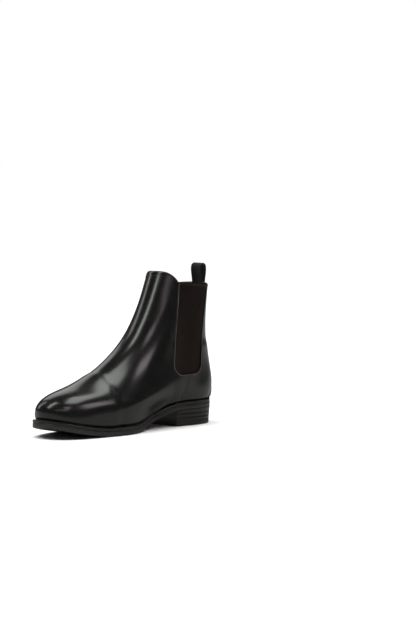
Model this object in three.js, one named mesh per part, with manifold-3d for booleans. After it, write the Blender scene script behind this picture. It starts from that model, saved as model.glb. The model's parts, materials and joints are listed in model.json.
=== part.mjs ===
// A right-foot chelsea boot: welted leather sole, stacked heel with a rubber quarter tip,
// one-piece front, two quarters, elastic gores and a webbing pull tab.
// Millimetres, +Z up, toe towards -Y, the foot's inner (medial) side towards +X.
import * as THREE from 'three';
import { mergeVertices } from 'three/addons/utils/BufferGeometryUtils.js';
import Module from 'manifold-3d';

const wasm = await Module();
wasm.setup();

// ---- Driving dimensions -------------------------------------------------------------

const CLEARANCE = 0.3;              // gap kept between pieces that lie against each other

// Last: the foot shape that everything is built round
const LAST_LENGTH = 278;            // toe to heel at the feather line
const TOPLINE_HEIGHT = 193;         // front peak of the topline above the ground
const WIDTH_FACTOR = 1;             // multiplies every width of the last
const TOE_SPRING = 14.5;            // underside of the toe tip above the ground

// Upper, measured outwards from the last
const LINING = 0.9;
const STIFFENER = 1.0;              // toe puff and heel counter
const LEATHER = 1.4;
const BACKSTAY = 1.0;
const ELASTIC = 1.9;
const EDGE_BINDING = 3.2;           // height of the folded topline edge

// Bottom, measured upwards from the ground
const OUTSOLE = 6;
const WELT = 3.4;
const INSOLE = 3;
const HEEL_PAD = 1;
const SHANK = [13, 92, 1];          // width, length, thickness
const SHANK_BACK = -38;             // where its back end lies
const HEEL_SEAT = 22.5;             // underside of the outsole at the back of the heel
const TOP_LIFT = (6 / 22.5) * HEEL_SEAT;
const HEEL_LIFT = (4.6 / 22.5) * HEEL_SEAT;
const HEEL_PITCH = 3.8;             // how much lower the seat is at the breast
const HEEL_LENGTH = 79;
const BREAST_DEPTH = 5;             // hollow of the heel breast
const HEEL_TAPER = 1.8;             // the ground end of the heel is this much smaller all round
const WELT_RING = 12;               // width of the welt strip
const FORE_MARGIN = 7;              // sole edge beyond the last: forepart, waist, heel
const WAIST_MARGIN = 1.5;
const HEEL_MARGIN = 5;

// Gore opening, in side view
const GORE_BOTTOM = 65;             // height of its lowest point
const GORE_FRONT = -69;             // front edge at the topline
const GORE_BACK = -19;              // back edge at the topline
const GORE_LEAN = [18, 17];         // how far front and back edge run forward on the way down
const GORE_CORNER = 13;             // radius of the bottom corners
const PEAK_DROP = 14;               // the topline's fall from its front peak to the gore
const PEAK_TURN = 2.3;              // how late it falls: higher keeps the peak level for longer
const SEAM_OFFSET = 6;              // the side seam starts this far behind the gore's middle
const SEAM_RUN = 26;                // how far forward the side seam runs on its way to the welt

// Nails and rubber tip of the top lift
const NAIL_RADIUS = 0.8;
const NAIL_LENGTH = 1.5 * TOP_LIFT;
const NAIL_SPACING = 4.2;
const NAIL_INSET = 8.5;             // from the heel's edge
const TIP_LINE = [[-34, -38], [24, -17]];   // plan line where leather meets rubber

// Pull tab
const TAB_WIDTH = 16;
const TAB_THICKNESS = 1.5;
const TAB_LOOP = 23;                // how far the loop stands above the topline
const TAB_OPEN = 9;                 // clear width of the loop
const TAB_SEAT = 0.55;              // gap between the webbing and the collar
const TAB_LEGS = [24, 19];          // sewn lengths outside and inside

// ---- Curves -------------------------------------------------------------------------

// Natural cubic spline through [x, y] pairs.
function spline(points) {
  const n = points.length;
  const x = points.map((p) => p[0]);
  const y = points.map((p) => p[1]);
  const bend = new Array(n).fill(0);
  const carry = new Array(n).fill(0);
  for (let i = 1; i < n - 1; i += 1) {
    const share = (x[i] - x[i - 1]) / (x[i + 1] - x[i - 1]);
    const pivot = share * bend[i - 1] + 2;
    const slopes = (y[i + 1] - y[i]) / (x[i + 1] - x[i]) - (y[i] - y[i - 1]) / (x[i] - x[i - 1]);
    bend[i] = (share - 1) / pivot;
    carry[i] = ((6 * slopes) / (x[i + 1] - x[i - 1]) - share * carry[i - 1]) / pivot;
  }
  const second = new Array(n).fill(0);
  for (let i = n - 2; i > 0; i -= 1) {
    second[i] = bend[i] * second[i + 1] + carry[i];
  }
  return (at) => {
    let i = 0;
    while (i < n - 2 && at > x[i + 1]) i += 1;
    const h = x[i + 1] - x[i];
    const a = (x[i + 1] - at) / h;
    const b = (at - x[i]) / h;
    const cubic = (a ** 3 - a) * second[i] + (b ** 3 - b) * second[i + 1];
    return a * y[i] + b * y[i + 1] + (cubic * h * h) / 6;
  };
}

function smoothstep(from, to, at) {
  const t = THREE.MathUtils.clamp((at - from) / (to - from), 0, 1);
  return t * t * (3 - 2 * t);
}

// Underside of the outsole: flat tread at the ball, arch, pitched heel seat, toe spring.
const breastY = -HEEL_LENGTH;
const seatAt = (y) => HEEL_SEAT + (HEEL_PITCH * y) / HEEL_LENGTH;
const treadCurve = spline([
  [-LAST_LENGTH - FORE_MARGIN, TOE_SPRING],
  [-0.93 * LAST_LENGTH, 0.55 * TOE_SPRING],
  [-0.82 * LAST_LENGTH, 0.17 * TOE_SPRING],
  [-0.67 * LAST_LENGTH, -0.8],
  [-0.56 * LAST_LENGTH, 0.03 * HEEL_SEAT],
  [-0.46 * LAST_LENGTH, 0.25 * HEEL_SEAT],
  [-0.36 * LAST_LENGTH, 0.57 * HEEL_SEAT],
  [breastY, seatAt(breastY)],
  [breastY / 2, seatAt(breastY / 2)],
  [HEEL_MARGIN, seatAt(HEEL_MARGIN)],
]);
const tread = (y) => Math.max(0, treadCurve(y));
const weltFloor = OUTSOLE + CLEARANCE;
const weltTop = weltFloor + WELT;
const feather = weltTop + CLEARANCE;
const insoleTop = feather + INSOLE;

// ---- The last -----------------------------------------------------------------------

// Profiles by rise, from 0 at the feather line to 1 at the topline: shares of the last's
// length forward of the heel, and shares of the way from the feather line to the topline.
const rises = [0, 0.05, 0.12, 0.25, 0.42, 0.58, 0.72, 0.86, 1];
const frontRun = [0.996, 1, 0.965, 0.85, 0.701, 0.568, 0.459, 0.368, 0.3];
const frontLift = [0, 0.068, 0.132, 0.192, 0.281, 0.4, 0.548, 0.76, 1];
const backRises = [0, 0.25, 0.45, 0.65, 0.82, 1];
const backRun = [0.012, -0.004, -0.008, 0.01, 0.023, 0.019];
const backLift = [0, 0.075, 0.17, 0.36, 0.6, 0.91];

const toeFeather = tread(-LAST_LENGTH) + feather;
const heelFeather = tread(0) + feather;
const frontY = spline(rises.map((rise, i) => [rise, -LAST_LENGTH * frontRun[i]]));
const frontZ = spline(rises.map((rise, i) => (
  [rise, toeFeather + (TOPLINE_HEIGHT - toeFeather) * frontLift[i]])));
const backY = spline(backRises.map((rise, i) => [rise, -LAST_LENGTH * backRun[i]]));
const backZ = spline(backRises.map((rise, i) => (
  [rise, heelFeather + (TOPLINE_HEIGHT - heelFeather) * backLift[i]])));

// Half widths at shares of the run from front to back, one row for each rise.
const widthRises = [0, 0.12, 0.42, 0.72, 1];
const widthShares = [0.2, 0.4, 0.6, 0.8];
const medialRows = [
  [35.5, 39, 24, 27], [36.5, 41, 29.5, 30], [30.5, 33.5, 32.5, 29.5],
  [25.5, 29, 29.5, 26], [25.5, 31.5, 32.5, 27.5]];
const lateralRows = [
  [36.5, 45.5, 38.5, 31.5], [37.5, 47, 41, 32.5], [31, 37.5, 36, 30.5],
  [25.5, 29, 29.5, 26], [25.5, 31.5, 32.5, 27.5]];
const noseRadius = spline([[0, 27], [0.12, 20], [0.42, 11], [0.72, 18], [1, 22]]);
const heelRadius = spline([[0, 28], [0.12, 28], [0.42, 25], [0.72, 20], [1, 26]]);
const widthCurves = (rows) => widthShares.map((_, k) => (
  spline(widthRises.map((rise, i) => [rise, rows[i][k] * WIDTH_FACTOR]))));
const medialWidths = widthCurves(medialRows);
const lateralWidths = widthCurves(lateralRows);

// Height lost by the lower slices where the feather line dips under them.
function featherDip(share) {
  const y = frontY(0) + share * (backY(0) - frontY(0));
  const straight = frontZ(0) + share * (backZ(0) - frontZ(0));
  return tread(y) + feather - straight;
}

// A point of the last. Turn goes 0 to 1 from the front past the medial side and round.
function lastPoint(turn, rise) {
  const angle = turn * 2 * Math.PI;
  const share = (1 - Math.cos(angle)) / 2;
  const run = Math.hypot(backY(rise) - frontY(rise), backZ(rise) - frontZ(rise));
  const widths = Math.sin(angle) >= 0 ? medialWidths : lateralWidths;
  const girth = spline([
    [0, Math.sqrt((noseRadius(rise) * run) / 2)],
    ...widthShares.map((at, k) => [at, widths[k](rise) / (2 * Math.sqrt(at * (1 - at)))]),
    [1, Math.sqrt((heelRadius(rise) * run) / 2)],
  ]);
  const dip = featherDip(share) * Math.max(0, 1 - rise) ** 3;
  return new THREE.Vector3(
    Math.sin(angle) * girth(share),
    frontY(rise) + share * (backY(rise) - frontY(rise)),
    frontZ(rise) + share * (backZ(rise) - frontZ(rise)) + dip,
  );
}

function lastNormal(turn, rise) {
  const step = 0.004;
  const round = lastPoint(turn + step, rise).sub(lastPoint(turn - step, rise));
  const up = lastPoint(turn, rise + step).sub(lastPoint(turn, rise - step));
  return round.cross(up).normalize();
}

function lastOffset(turn, rise, offset) {
  return lastPoint(turn, rise).addScaledVector(lastNormal(turn, rise), offset);
}

// ---- Solids -------------------------------------------------------------------------

function solidFrom(positions, triangles) {
  return new wasm.Manifold(new wasm.Mesh({
    numProp: 3,
    vertProperties: new Float32Array(positions.flatMap((p) => [p.x, p.y, p.z])),
    triVerts: new Uint32Array(triangles.flat()),
  }));
}

function solidFromGeometry(geometry) {
  geometry.deleteAttribute('normal');
  geometry.deleteAttribute('uv');
  const merged = mergeVertices(geometry, 1e-4);
  return new wasm.Manifold(new wasm.Mesh({
    numProp: 3,
    vertProperties: new Float32Array(merged.attributes.position.array),
    triVerts: new Uint32Array(merged.index.array),
  }));
}

const evenly = (from, to, count) => (
  Array.from({ length: count + 1 }, (_, i) => from + ((to - from) * i) / count));

// Two triangles for each cell of a grid; `at` gives a corner's number.
function gridTriangles(columns, rows, at, flipped) {
  const triangles = [];
  for (let i = 0; i < columns; i += 1) {
    for (let j = 0; j < rows; j += 1) {
      const [a, b, c, d] = [at(i, j), at(i + 1, j), at(i + 1, j + 1), at(i, j + 1)];
      triangles.push(...(flipped ? [[a, c, b], [a, d, c]] : [[a, b, c], [a, c, d]]));
    }
  }
  return triangles;
}

// A skin of the last between two offsets. Turns that make a full circle close on themselves.
function skin(turns, heights, inner, outer) {
  const full = turns[turns.length - 1] - turns[0] === 1;
  const columns = full ? turns.length - 1 : turns.length;
  const rows = heights.length;
  const positions = [];
  for (const offset of [inner, outer]) {
    for (let i = 0; i < columns; i += 1) {
      for (const rise of heights) {
        const amount = typeof offset === 'function' ? offset(lastPoint(turns[i], rise)) : offset;
        positions.push(lastOffset(turns[i], rise, amount));
      }
    }
  }
  const vertex = (layer, i, j) => (layer * columns + (i % columns)) * rows + j;
  const spans = turns.length - 1;
  const triangles = [
    ...gridTriangles(spans, rows - 1, (i, j) => vertex(1, i, j), false),
    ...gridTriangles(spans, rows - 1, (i, j) => vertex(0, i, j), true),
    ...gridTriangles(spans, 1, (i, j) => vertex(j, i, 0), false),
    ...gridTriangles(spans, 1, (i, j) => vertex(j, i, rows - 1), true),
  ];
  if (!full) {
    triangles.push(...gridTriangles(1, rows - 1, (i, j) => vertex(i, 0, j), false));
    triangles.push(...gridTriangles(1, rows - 1, (i, j) => vertex(i, spans, j), true));
  }
  return solidFrom(positions, triangles);
}

// Plan outline of the sole at a margin from the last's feather line.
const LOOP_STEPS = 52;
function plan(margin, steps = LOOP_STEPS) {
  return evenly(0, 1, steps).slice(0, -1).map((turn) => {
    const point = lastPoint(turn, 0);
    const along = lastPoint(turn + 0.002, 0).sub(lastPoint(turn - 0.002, 0));
    const out = new THREE.Vector3(along.y, -along.x, 0).normalize();
    const amount = typeof margin === 'function' ? margin(point) : margin;
    return point.addScaledVector(out, amount).setZ(0);
  });
}

// The edge margin along the sole: wide forepart, close waist, neat heel.
function soleMargin(point) {
  const waistStart = -0.68 * LAST_LENGTH;
  const waistMiddle = -0.4 * LAST_LENGTH;
  const medial = point.x > 0 ? WAIST_MARGIN : (WAIST_MARGIN + FORE_MARGIN) / 2;
  const { lerp } = THREE.MathUtils;
  const fore = lerp(FORE_MARGIN, medial, smoothstep(waistStart, waistMiddle, point.y));
  return lerp(fore, HEEL_MARGIN, smoothstep(waistMiddle, breastY, point.y));
}

const inset = (amount) => (point) => soleMargin(point) - amount;

// A plate with one plan outline whose faces follow heights given along Y.
function plate(outline, low, high) {
  const count = outline.length;
  const positions = [low, high].flatMap((height) => (
    outline.map((p) => new THREE.Vector3(p.x, p.y, height(p.y)))));
  const walls = gridTriangles(count, 1, (i, j) => j * count + (i % count), false);
  const caps = [];
  for (let i = 0; i < count / 2; i += 1) {
    const [a, b, c, d] = [i, i + 1, (count - i - 1) % count, (count - i) % count];
    const cell = [[a, b, c], [a, c, d]].filter((t) => new Set(t).size === 3);
    for (const t of cell) {
      caps.push(t.map((k) => k + count));
      caps.push([t[0], t[2], t[1]]);
    }
  }
  return solidFrom(positions, [...walls, ...caps]);
}

const above = (height) => (y) => tread(y) + height;
const level = (height) => () => height;

function extrude(outline, depth) {
  const shape = new THREE.Shape(outline.map(([x, y]) => new THREE.Vector2(x, y)));
  return new THREE.ExtrudeGeometry(shape, { depth, bevelEnabled: false });
}

// Prisms from an outline in side view (y, z), in back view (x, z) and in plan (x, y).
function sidePrism(outline, fromX, toX) {
  const geometry = extrude(outline, toX - fromX);
  geometry.applyMatrix4(new THREE.Matrix4().set(
    0, 0, 1, fromX,
    1, 0, 0, 0,
    0, 1, 0, 0,
    0, 0, 0, 1,
  ));
  return solidFromGeometry(geometry);
}

function backPrism(outline, fromY, toY) {
  const geometry = extrude(outline, toY - fromY);
  geometry.rotateX(Math.PI / 2);
  geometry.translate(0, toY, 0);
  return solidFromGeometry(geometry);
}

function planPrism(outline, fromZ, toZ) {
  const geometry = extrude(outline, toZ - fromZ);
  geometry.translate(0, 0, fromZ);
  return solidFromGeometry(geometry);
}

// ---- Cutting lines of the upper -----------------------------------------------------

const REACH = 400;                  // well past the boot on every side

// Topline in side view: level round the front, turned down to the gores, low behind them.
const peakEnd = GORE_FRONT - 1.2;
const toplineMiddle = (GORE_FRONT + GORE_BACK) / 2;
const toplineEnd = 12;
const toplineBack = spline([
  [peakEnd, TOPLINE_HEIGHT - PEAK_DROP],
  [toplineMiddle, TOPLINE_HEIGHT - 15.5],
  [GORE_BACK, TOPLINE_HEIGHT - 17],
  [0, TOPLINE_HEIGHT - 15],
  [toplineEnd, TOPLINE_HEIGHT - 14],
]);
function toplineCurve(y) {
  if (y > peakEnd) return toplineBack(y);
  const share = Math.max(0, (y - frontY(1)) / (peakEnd - frontY(1)));
  return TOPLINE_HEIGHT - PEAK_DROP * share ** PEAK_TURN;
}
const peakShares = [-1, 0, 0.25, 0.4, 0.52, 0.63, 0.73, 0.82, 0.91];
const toplineSteps = [
  ...peakShares.map((share) => THREE.MathUtils.lerp(frontY(1), peakEnd, share)),
  ...evenly(peakEnd, toplineEnd, 12),
];
const toplineRun = (drop) => toplineSteps.map((y) => [y, toplineCurve(y) - drop]);

function aboveTopline(drop) {
  const run = toplineRun(drop);
  return sidePrism([
    [-REACH, run[0][1]], ...run, [REACH, run[run.length - 1][1]], [REACH, REACH], [-REACH, REACH],
  ], -REACH, REACH);
}

// The gore opening, grown by `grow` on every edge.
function goreOutline(grow) {
  const top = TOPLINE_HEIGHT + 20;
  const bottom = GORE_BOTTOM - grow;
  const corner = GORE_CORNER + grow;
  const goreDepth = TOPLINE_HEIGHT - GORE_BOTTOM;
  const frontAt = (z) => GORE_FRONT - grow - (GORE_LEAN[0] * (TOPLINE_HEIGHT - z)) / goreDepth;
  const backAt = (z) => GORE_BACK + grow - (GORE_LEAN[1] * (TOPLINE_HEIGHT - z)) / goreDepth;
  const arcs = [];
  for (const angle of evenly(0, Math.PI / 2, 5)) {
    arcs.push([
      frontAt(bottom + corner) + corner * (1 - Math.cos(angle)),
      bottom + corner * (1 - Math.sin(angle)),
    ]);
  }
  for (const angle of evenly(Math.PI / 2, Math.PI, 5)) {
    arcs.push([
      backAt(bottom + corner) - corner * (1 + Math.cos(angle)),
      bottom + corner * (1 - Math.sin(angle)),
    ]);
  }
  return [[frontAt(top), top], ...arcs, [backAt(top), top]];
}

const goreMiddle = (GORE_FRONT - GORE_LEAN[0] + GORE_BACK - GORE_LEAN[1]) / 2;
const seamTop = [goreMiddle + SEAM_OFFSET, GORE_BOTTOM + 8];
const seamFoot = [seamTop[0] - SEAM_RUN, 0];

// Everything in front of (direction -1) or behind (+1) the side seams.
function seamSide(direction) {
  const shift = (direction * CLEARANCE) / 2;
  const line = [
    [seamFoot[0] + shift, -REACH], [seamFoot[0] + shift, seamFoot[1]],
    [seamTop[0] + shift, seamTop[1]],
    [toplineMiddle + shift, TOPLINE_HEIGHT], [toplineMiddle + shift, REACH],
  ];
  const far = direction * REACH;
  return sidePrism([...line, [far, REACH], [far, -REACH]], -REACH, REACH);
}

const half = (side) => {
  const edges = [(side * CLEARANCE) / 2, side * REACH].sort((a, b) => a - b);
  return sidePrism([[-REACH, -REACH], [REACH, -REACH], [REACH, REACH], [-REACH, REACH]], ...edges);
};

const goreCut = (grow) => sidePrism(goreOutline(grow), -REACH, REACH);
const ground = plate(plan(40, 2 * LOOP_STEPS), level(-REACH), above(feather));

// ---- Upper --------------------------------------------------------------------------

// The stiffeners lift the leather off the lining at the toe and round the heel.
const PUFF_BACK = -0.78 * LAST_LENGTH;
const COUNTER_FRONT = -58;
const COUNTER_TOP = 78;
const PLATEAU = 18;                 // the lift stays full this far past a stiffener's edge
const BLEND = 14;                   // and fades out over this length
function stiffened(point) {
  const puffEnd = PUFF_BACK + PLATEAU;
  const counterEnd = COUNTER_FRONT - PLATEAU;
  const counterTop = COUNTER_TOP + PLATEAU;
  const toe = smoothstep(puffEnd + BLEND, puffEnd, point.y);
  const heel = smoothstep(counterEnd - BLEND, counterEnd, point.y)
    * smoothstep(counterTop + BLEND, counterTop, point.z);
  return Math.max(toe, heel) * (STIFFENER + CLEARANCE);
}

const leatherInner = (point) => LINING + CLEARANCE + stiffened(point);
const leatherOuter = (point) => leatherInner(point) + LEATHER;
const goreOuter = LINING + CLEARANCE + LEATHER - CLEARANCE;

const ROUND_STEPS = 44;
const allTurns = evenly(0, 1, ROUND_STEPS);
const wall = [-0.03, 0.02, 0.06, 0.12, 0.19, 0.27, 0.36, 0.45, 0.54, 0.64, 0.75, 0.88, 1.04];
const fullSkin = (inner, outer) => skin(allTurns, wall, inner, outer).subtract(ground);

const edged = (solid, drop) => solid.subtract(aboveTopline(drop));
const bodyDrop = EDGE_BINDING + CLEARANCE;

function makeUpper() {
  const leather = edged(fullSkin(leatherInner, leatherOuter), bodyDrop).subtract(goreCut(CLEARANCE));
  const back = leather.intersect(seamSide(1));
  return {
    vamp: leather.intersect(seamSide(-1)),
    quarter_medial: back.intersect(half(1)),
    quarter_lateral: back.intersect(half(-1)),
  };
}

function makeGores() {
  const elastic = edged(fullSkin(goreOuter - ELASTIC, goreOuter), 0).intersect(goreCut(0));
  return {
    gore_medial: elastic.intersect(half(1)),
    gore_lateral: elastic.intersect(half(-1)),
  };
}

function makeLinings() {
  const lining = edged(fullSkin(0, LINING), bodyDrop).subtract(goreCut(CLEARANCE));
  return {
    vamp_lining: lining.intersect(seamSide(-1)),
    quarter_lining: lining.intersect(seamSide(1)),
  };
}

function makeStiffeners() {
  const layer = fullSkin(LINING + CLEARANCE, LINING + CLEARANCE + STIFFENER);
  const toeBox = sidePrism(
    [[-REACH, -REACH], [PUFF_BACK, -REACH], [PUFF_BACK, REACH], [-REACH, REACH]], -REACH, REACH);
  const goreFloor = GORE_BOTTOM - CLEARANCE - 3;
  const heelBox = sidePrism([
    [COUNTER_FRONT, -REACH], [REACH, -REACH], [REACH, COUNTER_TOP], [-12, COUNTER_TOP],
    [-24, goreFloor], [COUNTER_FRONT + 8, goreFloor - 12], [COUNTER_FRONT, goreFloor - 26],
  ], -REACH, REACH);
  return { toe_puff: layer.intersect(toeBox), heel_counter: layer.intersect(heelBox) };
}

// Folded edges of the topline, one round the front and one round the back.
function makeBindings() {
  const rimRises = [0.84, 0.93, 1.04];
  const rim = skin(allTurns, rimRises, 0, LINING + CLEARANCE + LEATHER);
  const band = edged(rim, 0).intersect(aboveTopline(EDGE_BINDING)).subtract(goreCut(CLEARANCE));
  return {
    topline_binding_front: band.intersect(seamSide(-1)),
    topline_binding_back: band.intersect(seamSide(1)),
  };
}

// Strip over the back seam, flared where it reaches the heel seat.
function makeBackstay() {
  const outer = (point) => leatherOuter(point) + CLEARANCE + BACKSTAY;
  const backTurns = allTurns.slice(16, 29);   // the part round the heel
  const strip = skin(backTurns, wall, (point) => leatherOuter(point) + CLEARANCE, outer);
  const widths = [[28, 0], [27, 34], [20, 42], [13, 54], [10, 72], [9.5, 92], [9.5, REACH]];
  const mirrored = widths.map(([x, z]) => [-x, z]).reverse();
  const cut = strip.subtract(ground).intersect(backPrism([...widths, ...mirrored], -60, 30));
  return { backstay: edged(cut, bodyDrop) };
}

// ---- Bottom -------------------------------------------------------------------------

const soleEdge = plan(soleMargin);
const ringHole = plan(inset(WELT_RING));
const alongY = (fromY, toY) => planPrism(
  [[-REACH, fromY], [REACH, fromY], [REACH, toY], [-REACH, toY]], -REACH, REACH);

function makeWelt() {
  const ring = plate(soleEdge, above(weltFloor), above(weltTop))
    .subtract(plate(ringHole, above(0), above(weltTop + 1)));
  return {
    welt: ring.intersect(alongY(-REACH, breastY - CLEARANCE / 2)),
    heel_rand: ring.intersect(alongY(breastY + CLEARANCE / 2, REACH)),
  };
}

// The shank lies in the waist, in a pocket of the filler that opens upwards.
function makeFiller() {
  const filler = plate(plan(inset(WELT_RING + CLEARANCE)), above(weltFloor), above(weltTop));
  const [width, length, thickness] = SHANK;
  const strip = (grow, low, high) => {
    const side = width / 2 + grow;
    const [front, back] = [SHANK_BACK - length - grow, SHANK_BACK + grow];
    const shape = [[-side, front], [side, front], [side, back], [-side, back]];
    return plate(plan(-4), above(low), above(high)).intersect(planPrism(shape, -REACH, REACH));
  };
  return {
    cork_filler: filler.subtract(strip(CLEARANCE, weltTop - thickness - 2 * CLEARANCE, weltTop + 2)),
    shank: strip(0, weltTop - thickness - CLEARANCE, weltTop - CLEARANCE),
  };
}

function makeInsole() {
  const edge = plan(-1.2);
  const pad = plate(plan(-3), above(insoleTop + CLEARANCE), above(insoleTop + CLEARANCE + HEEL_PAD));
  return {
    insole: plate(edge, above(feather), above(insoleTop)),
    heel_pad: pad.intersect(alongY(breastY - 12, REACH)),
  };
}

// In front of the hollow heel breast, drawn as an arc in plan.
function breastCut() {
  const reach = 45;
  const radius = (reach * reach + BREAST_DEPTH * BREAST_DEPTH) / (2 * BREAST_DEPTH);
  const arc = evenly(-reach, reach, 12).map((x) => (
    [x, breastY + BREAST_DEPTH - radius + Math.sqrt(radius * radius - x * x)]));
  return planPrism([[-REACH, -REACH], [REACH, -REACH], [REACH, arc[12][1]], ...arc.reverse(),
    [-REACH, arc[12][1]]], -REACH, REACH);
}

// Heel layers from the ground up, each a little wider than the one below.
function makeHeel() {
  const cut = breastCut();
  const layer = (low, high) => {
    const taper = HEEL_TAPER * (1 - low / HEEL_SEAT);
    return plate(plan(inset(taper)), level(low), high).subtract(cut);
  };
  const second = TOP_LIFT + CLEARANCE;
  const third = second + HEEL_LIFT + CLEARANCE;
  const fourth = third + HEEL_LIFT + CLEARANCE;
  const topLift = layer(0, level(TOP_LIFT));
  const [[x0, y0], [x1, y1]] = TIP_LINE;
  const slope = (y1 - y0) / (x1 - x0);
  const lineAt = (x, shift) => [x, y0 + slope * (x - x0) + shift];
  const behindLine = (shift) => planPrism(
    [lineAt(-REACH, shift), lineAt(REACH, shift), [REACH, 4 * REACH], [-REACH, 4 * REACH]],
    -REACH, REACH);
  return {
    top_lift: topLift.subtract(behindLine(-CLEARANCE / 2)),
    rubber_heel_tip: topLift.intersect(behindLine(CLEARANCE / 2)),
    heel_lift_1: layer(second, level(second + HEEL_LIFT)),
    heel_lift_2: layer(third, level(third + HEEL_LIFT)),
    heel_lift_3: layer(fourth, (y) => tread(y) - CLEARANCE),
  };
}

// Brass nails in threes: three groups down the medial side, two down the lateral side.
const NAIL_ROWS = [
  { side: 1, pointing: 1, along: [-67, -49, -31] },
  { side: -1, pointing: -1, along: [-65, -46] },
];
function edgeAt(side, y) {
  const edge = soleEdge.filter((p) => Math.sign(p.x) === side).sort((a, b) => a.y - b.y);
  const next = edge.findIndex((p) => p.y > y);
  const [a, b] = [edge[next - 1], edge[next]];
  return a.x + ((b.x - a.x) * (y - a.y)) / (b.y - a.y);
}

function nailPlaces() {
  const places = [];
  for (const { side, pointing, along } of NAIL_ROWS) {
    for (const y of along) {
      const x = edgeAt(side, y) - side * (HEEL_TAPER + NAIL_INSET);
      const step = NAIL_SPACING / 2;
      const base = y - pointing * step;
      places.push([x - step, base], [x + step, base], [x, y + pointing * step]);
    }
  }
  return places;
}

function pin([x, y], radius, low, high) {
  const geometry = new THREE.CylinderGeometry(radius, radius, high - low, 8);
  geometry.rotateX(Math.PI / 2);
  geometry.translate(x, y, (low + high) / 2);
  return solidFromGeometry(geometry);
}

function makeNails() {
  const nails = {};
  nailPlaces().forEach((place, i) => {
    const name = `heel_nail_${String(i + 1).padStart(2, '0')}`;
    nails[name] = pin(place, NAIL_RADIUS, 0.1, NAIL_LENGTH);
  });
  return nails;
}

function drillForNails(solid) {
  const holes = nailPlaces().map((place) => (
    pin(place, NAIL_RADIUS + CLEARANCE, -1, NAIL_LENGTH + CLEARANCE)));
  return holes.reduce((left, hole) => left.subtract(hole), solid);
}

// ---- Pull tab -----------------------------------------------------------------------

// Centre line of the webbing in side view: up the outside, over, and down the inside.
function tabLine() {
  const topAtBack = toplineCurve(0);
  const riseAt = (z) => {
    let [low, high] = [0.5, 1.1];
    for (let i = 0; i < 30; i += 1) {
      const middle = (low + high) / 2;
      if (lastPoint(0.5, middle).z < z) low = middle;
      else high = middle;
    }
    return low;
  };
  const outside = LINING + LEATHER + BACKSTAY + 2 * CLEARANCE + TAB_SEAT + TAB_THICKNESS / 2;
  const inside = -TAB_SEAT - TAB_THICKNESS / 2;
  const leg = (z, offset) => {
    const point = lastOffset(0.5, riseAt(z), offset);
    return new THREE.Vector3(0, point.y, point.z);
  };
  const middle = (leg(topAtBack, outside).y + leg(topAtBack, inside).y) / 2;
  const swell = (TAB_OPEN + TAB_THICKNESS) / 2;
  const top = topAtBack + TAB_LOOP - TAB_THICKNESS / 2;
  const at = (y, z) => new THREE.Vector3(0, y, z);
  return new THREE.CatmullRomCurve3([
    leg(topAtBack - TAB_LEGS[0], outside), leg(topAtBack - TAB_LEGS[0] / 2, outside),
    leg(topAtBack, outside),
    at(middle + swell, top - 1.5 * swell), at(middle + 0.72 * swell, top - 0.3 * swell),
    at(middle, top),
    at(middle - 0.72 * swell, top - 0.3 * swell), at(middle - swell, top - 1.5 * swell),
    leg(topAtBack, inside),
    leg(topAtBack - TAB_LEGS[1] / 2, inside), leg(topAtBack - TAB_LEGS[1], inside),
  ], false, 'centripetal');
}

// The webbing is curved across its width like the collar that it is sewn to.
function makePullTab() {
  const line = tabLine();
  const stations = 30;
  const across = 4;
  const collarRadius = heelRadius(1) + LINING + LEATHER;
  const positions = [];
  for (const side of [-1, 1]) {
    for (let i = 0; i <= stations; i += 1) {
      const centre = line.getPointAt(i / stations);
      const along = line.getTangentAt(i / stations);
      const out = new THREE.Vector3(0, along.z, -along.y);
      for (const x of evenly(-TAB_WIDTH / 2, TAB_WIDTH / 2, across)) {
        const point = centre.clone().addScaledVector(out, (side * TAB_THICKNESS) / 2);
        positions.push(new THREE.Vector3(x, point.y - (x * x) / (2 * collarRadius), point.z));
      }
    }
  }
  const vertex = (layer, i, j) => (layer * (stations + 1) + i) * (across + 1) + j;
  const triangles = [
    ...gridTriangles(stations, across, (i, j) => vertex(1, i, j), false),
    ...gridTriangles(stations, across, (i, j) => vertex(0, i, j), true),
    ...gridTriangles(stations, 1, (i, j) => vertex(j, i, 0), false),
    ...gridTriangles(stations, 1, (i, j) => vertex(j, i, across), true),
    ...gridTriangles(1, across, (i, j) => vertex(i, 0, j), false),
    ...gridTriangles(1, across, (i, j) => vertex(i, stations, j), true),
  ];
  return { pull_tab: solidFrom(positions, triangles) };
}

// ---- Materials and assembly ---------------------------------------------------------

const finish = (color, roughness, metalness = 0) => ({ color, roughness, metalness });
const FINISHES = {
  calf: finish(0x121212, 0.22),
  edge: finish(0x0e0e0f, 0.35),
  sole: finish(0x17161a, 0.38),
  rubber: finish(0x202123, 0.72),
  elastic: finish(0x2c1b12, 0.85),
  webbing: finish(0x0c0c0d, 0.8),
  lining: finish(0x3a332c, 0.6),
  cork: finish(0x8a6a48, 0.9),
  insole: finish(0x8f6f52, 0.7),
  steel: finish(0x8d9095, 0.35, 1),
  brass: finish(0xb08a4e, 0.3, 1),
  stiffener: finish(0x9a8a74, 0.8),
};

const finishOf = {
  outsole: 'sole', welt: 'edge', heel_rand: 'edge', insole: 'insole', heel_pad: 'lining',
  cork_filler: 'cork', shank: 'steel', rubber_heel_tip: 'rubber', top_lift: 'sole',
  gore_medial: 'elastic', gore_lateral: 'elastic', pull_tab: 'webbing',
  vamp_lining: 'lining', quarter_lining: 'lining', toe_puff: 'stiffener', heel_counter: 'stiffener',
};

function finishFor(name) {
  if (name.startsWith('heel_nail')) return FINISHES.brass;
  if (name.startsWith('heel_lift')) return FINISHES.edge;
  return FINISHES[finishOf[name] ?? 'calf'];
}

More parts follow.
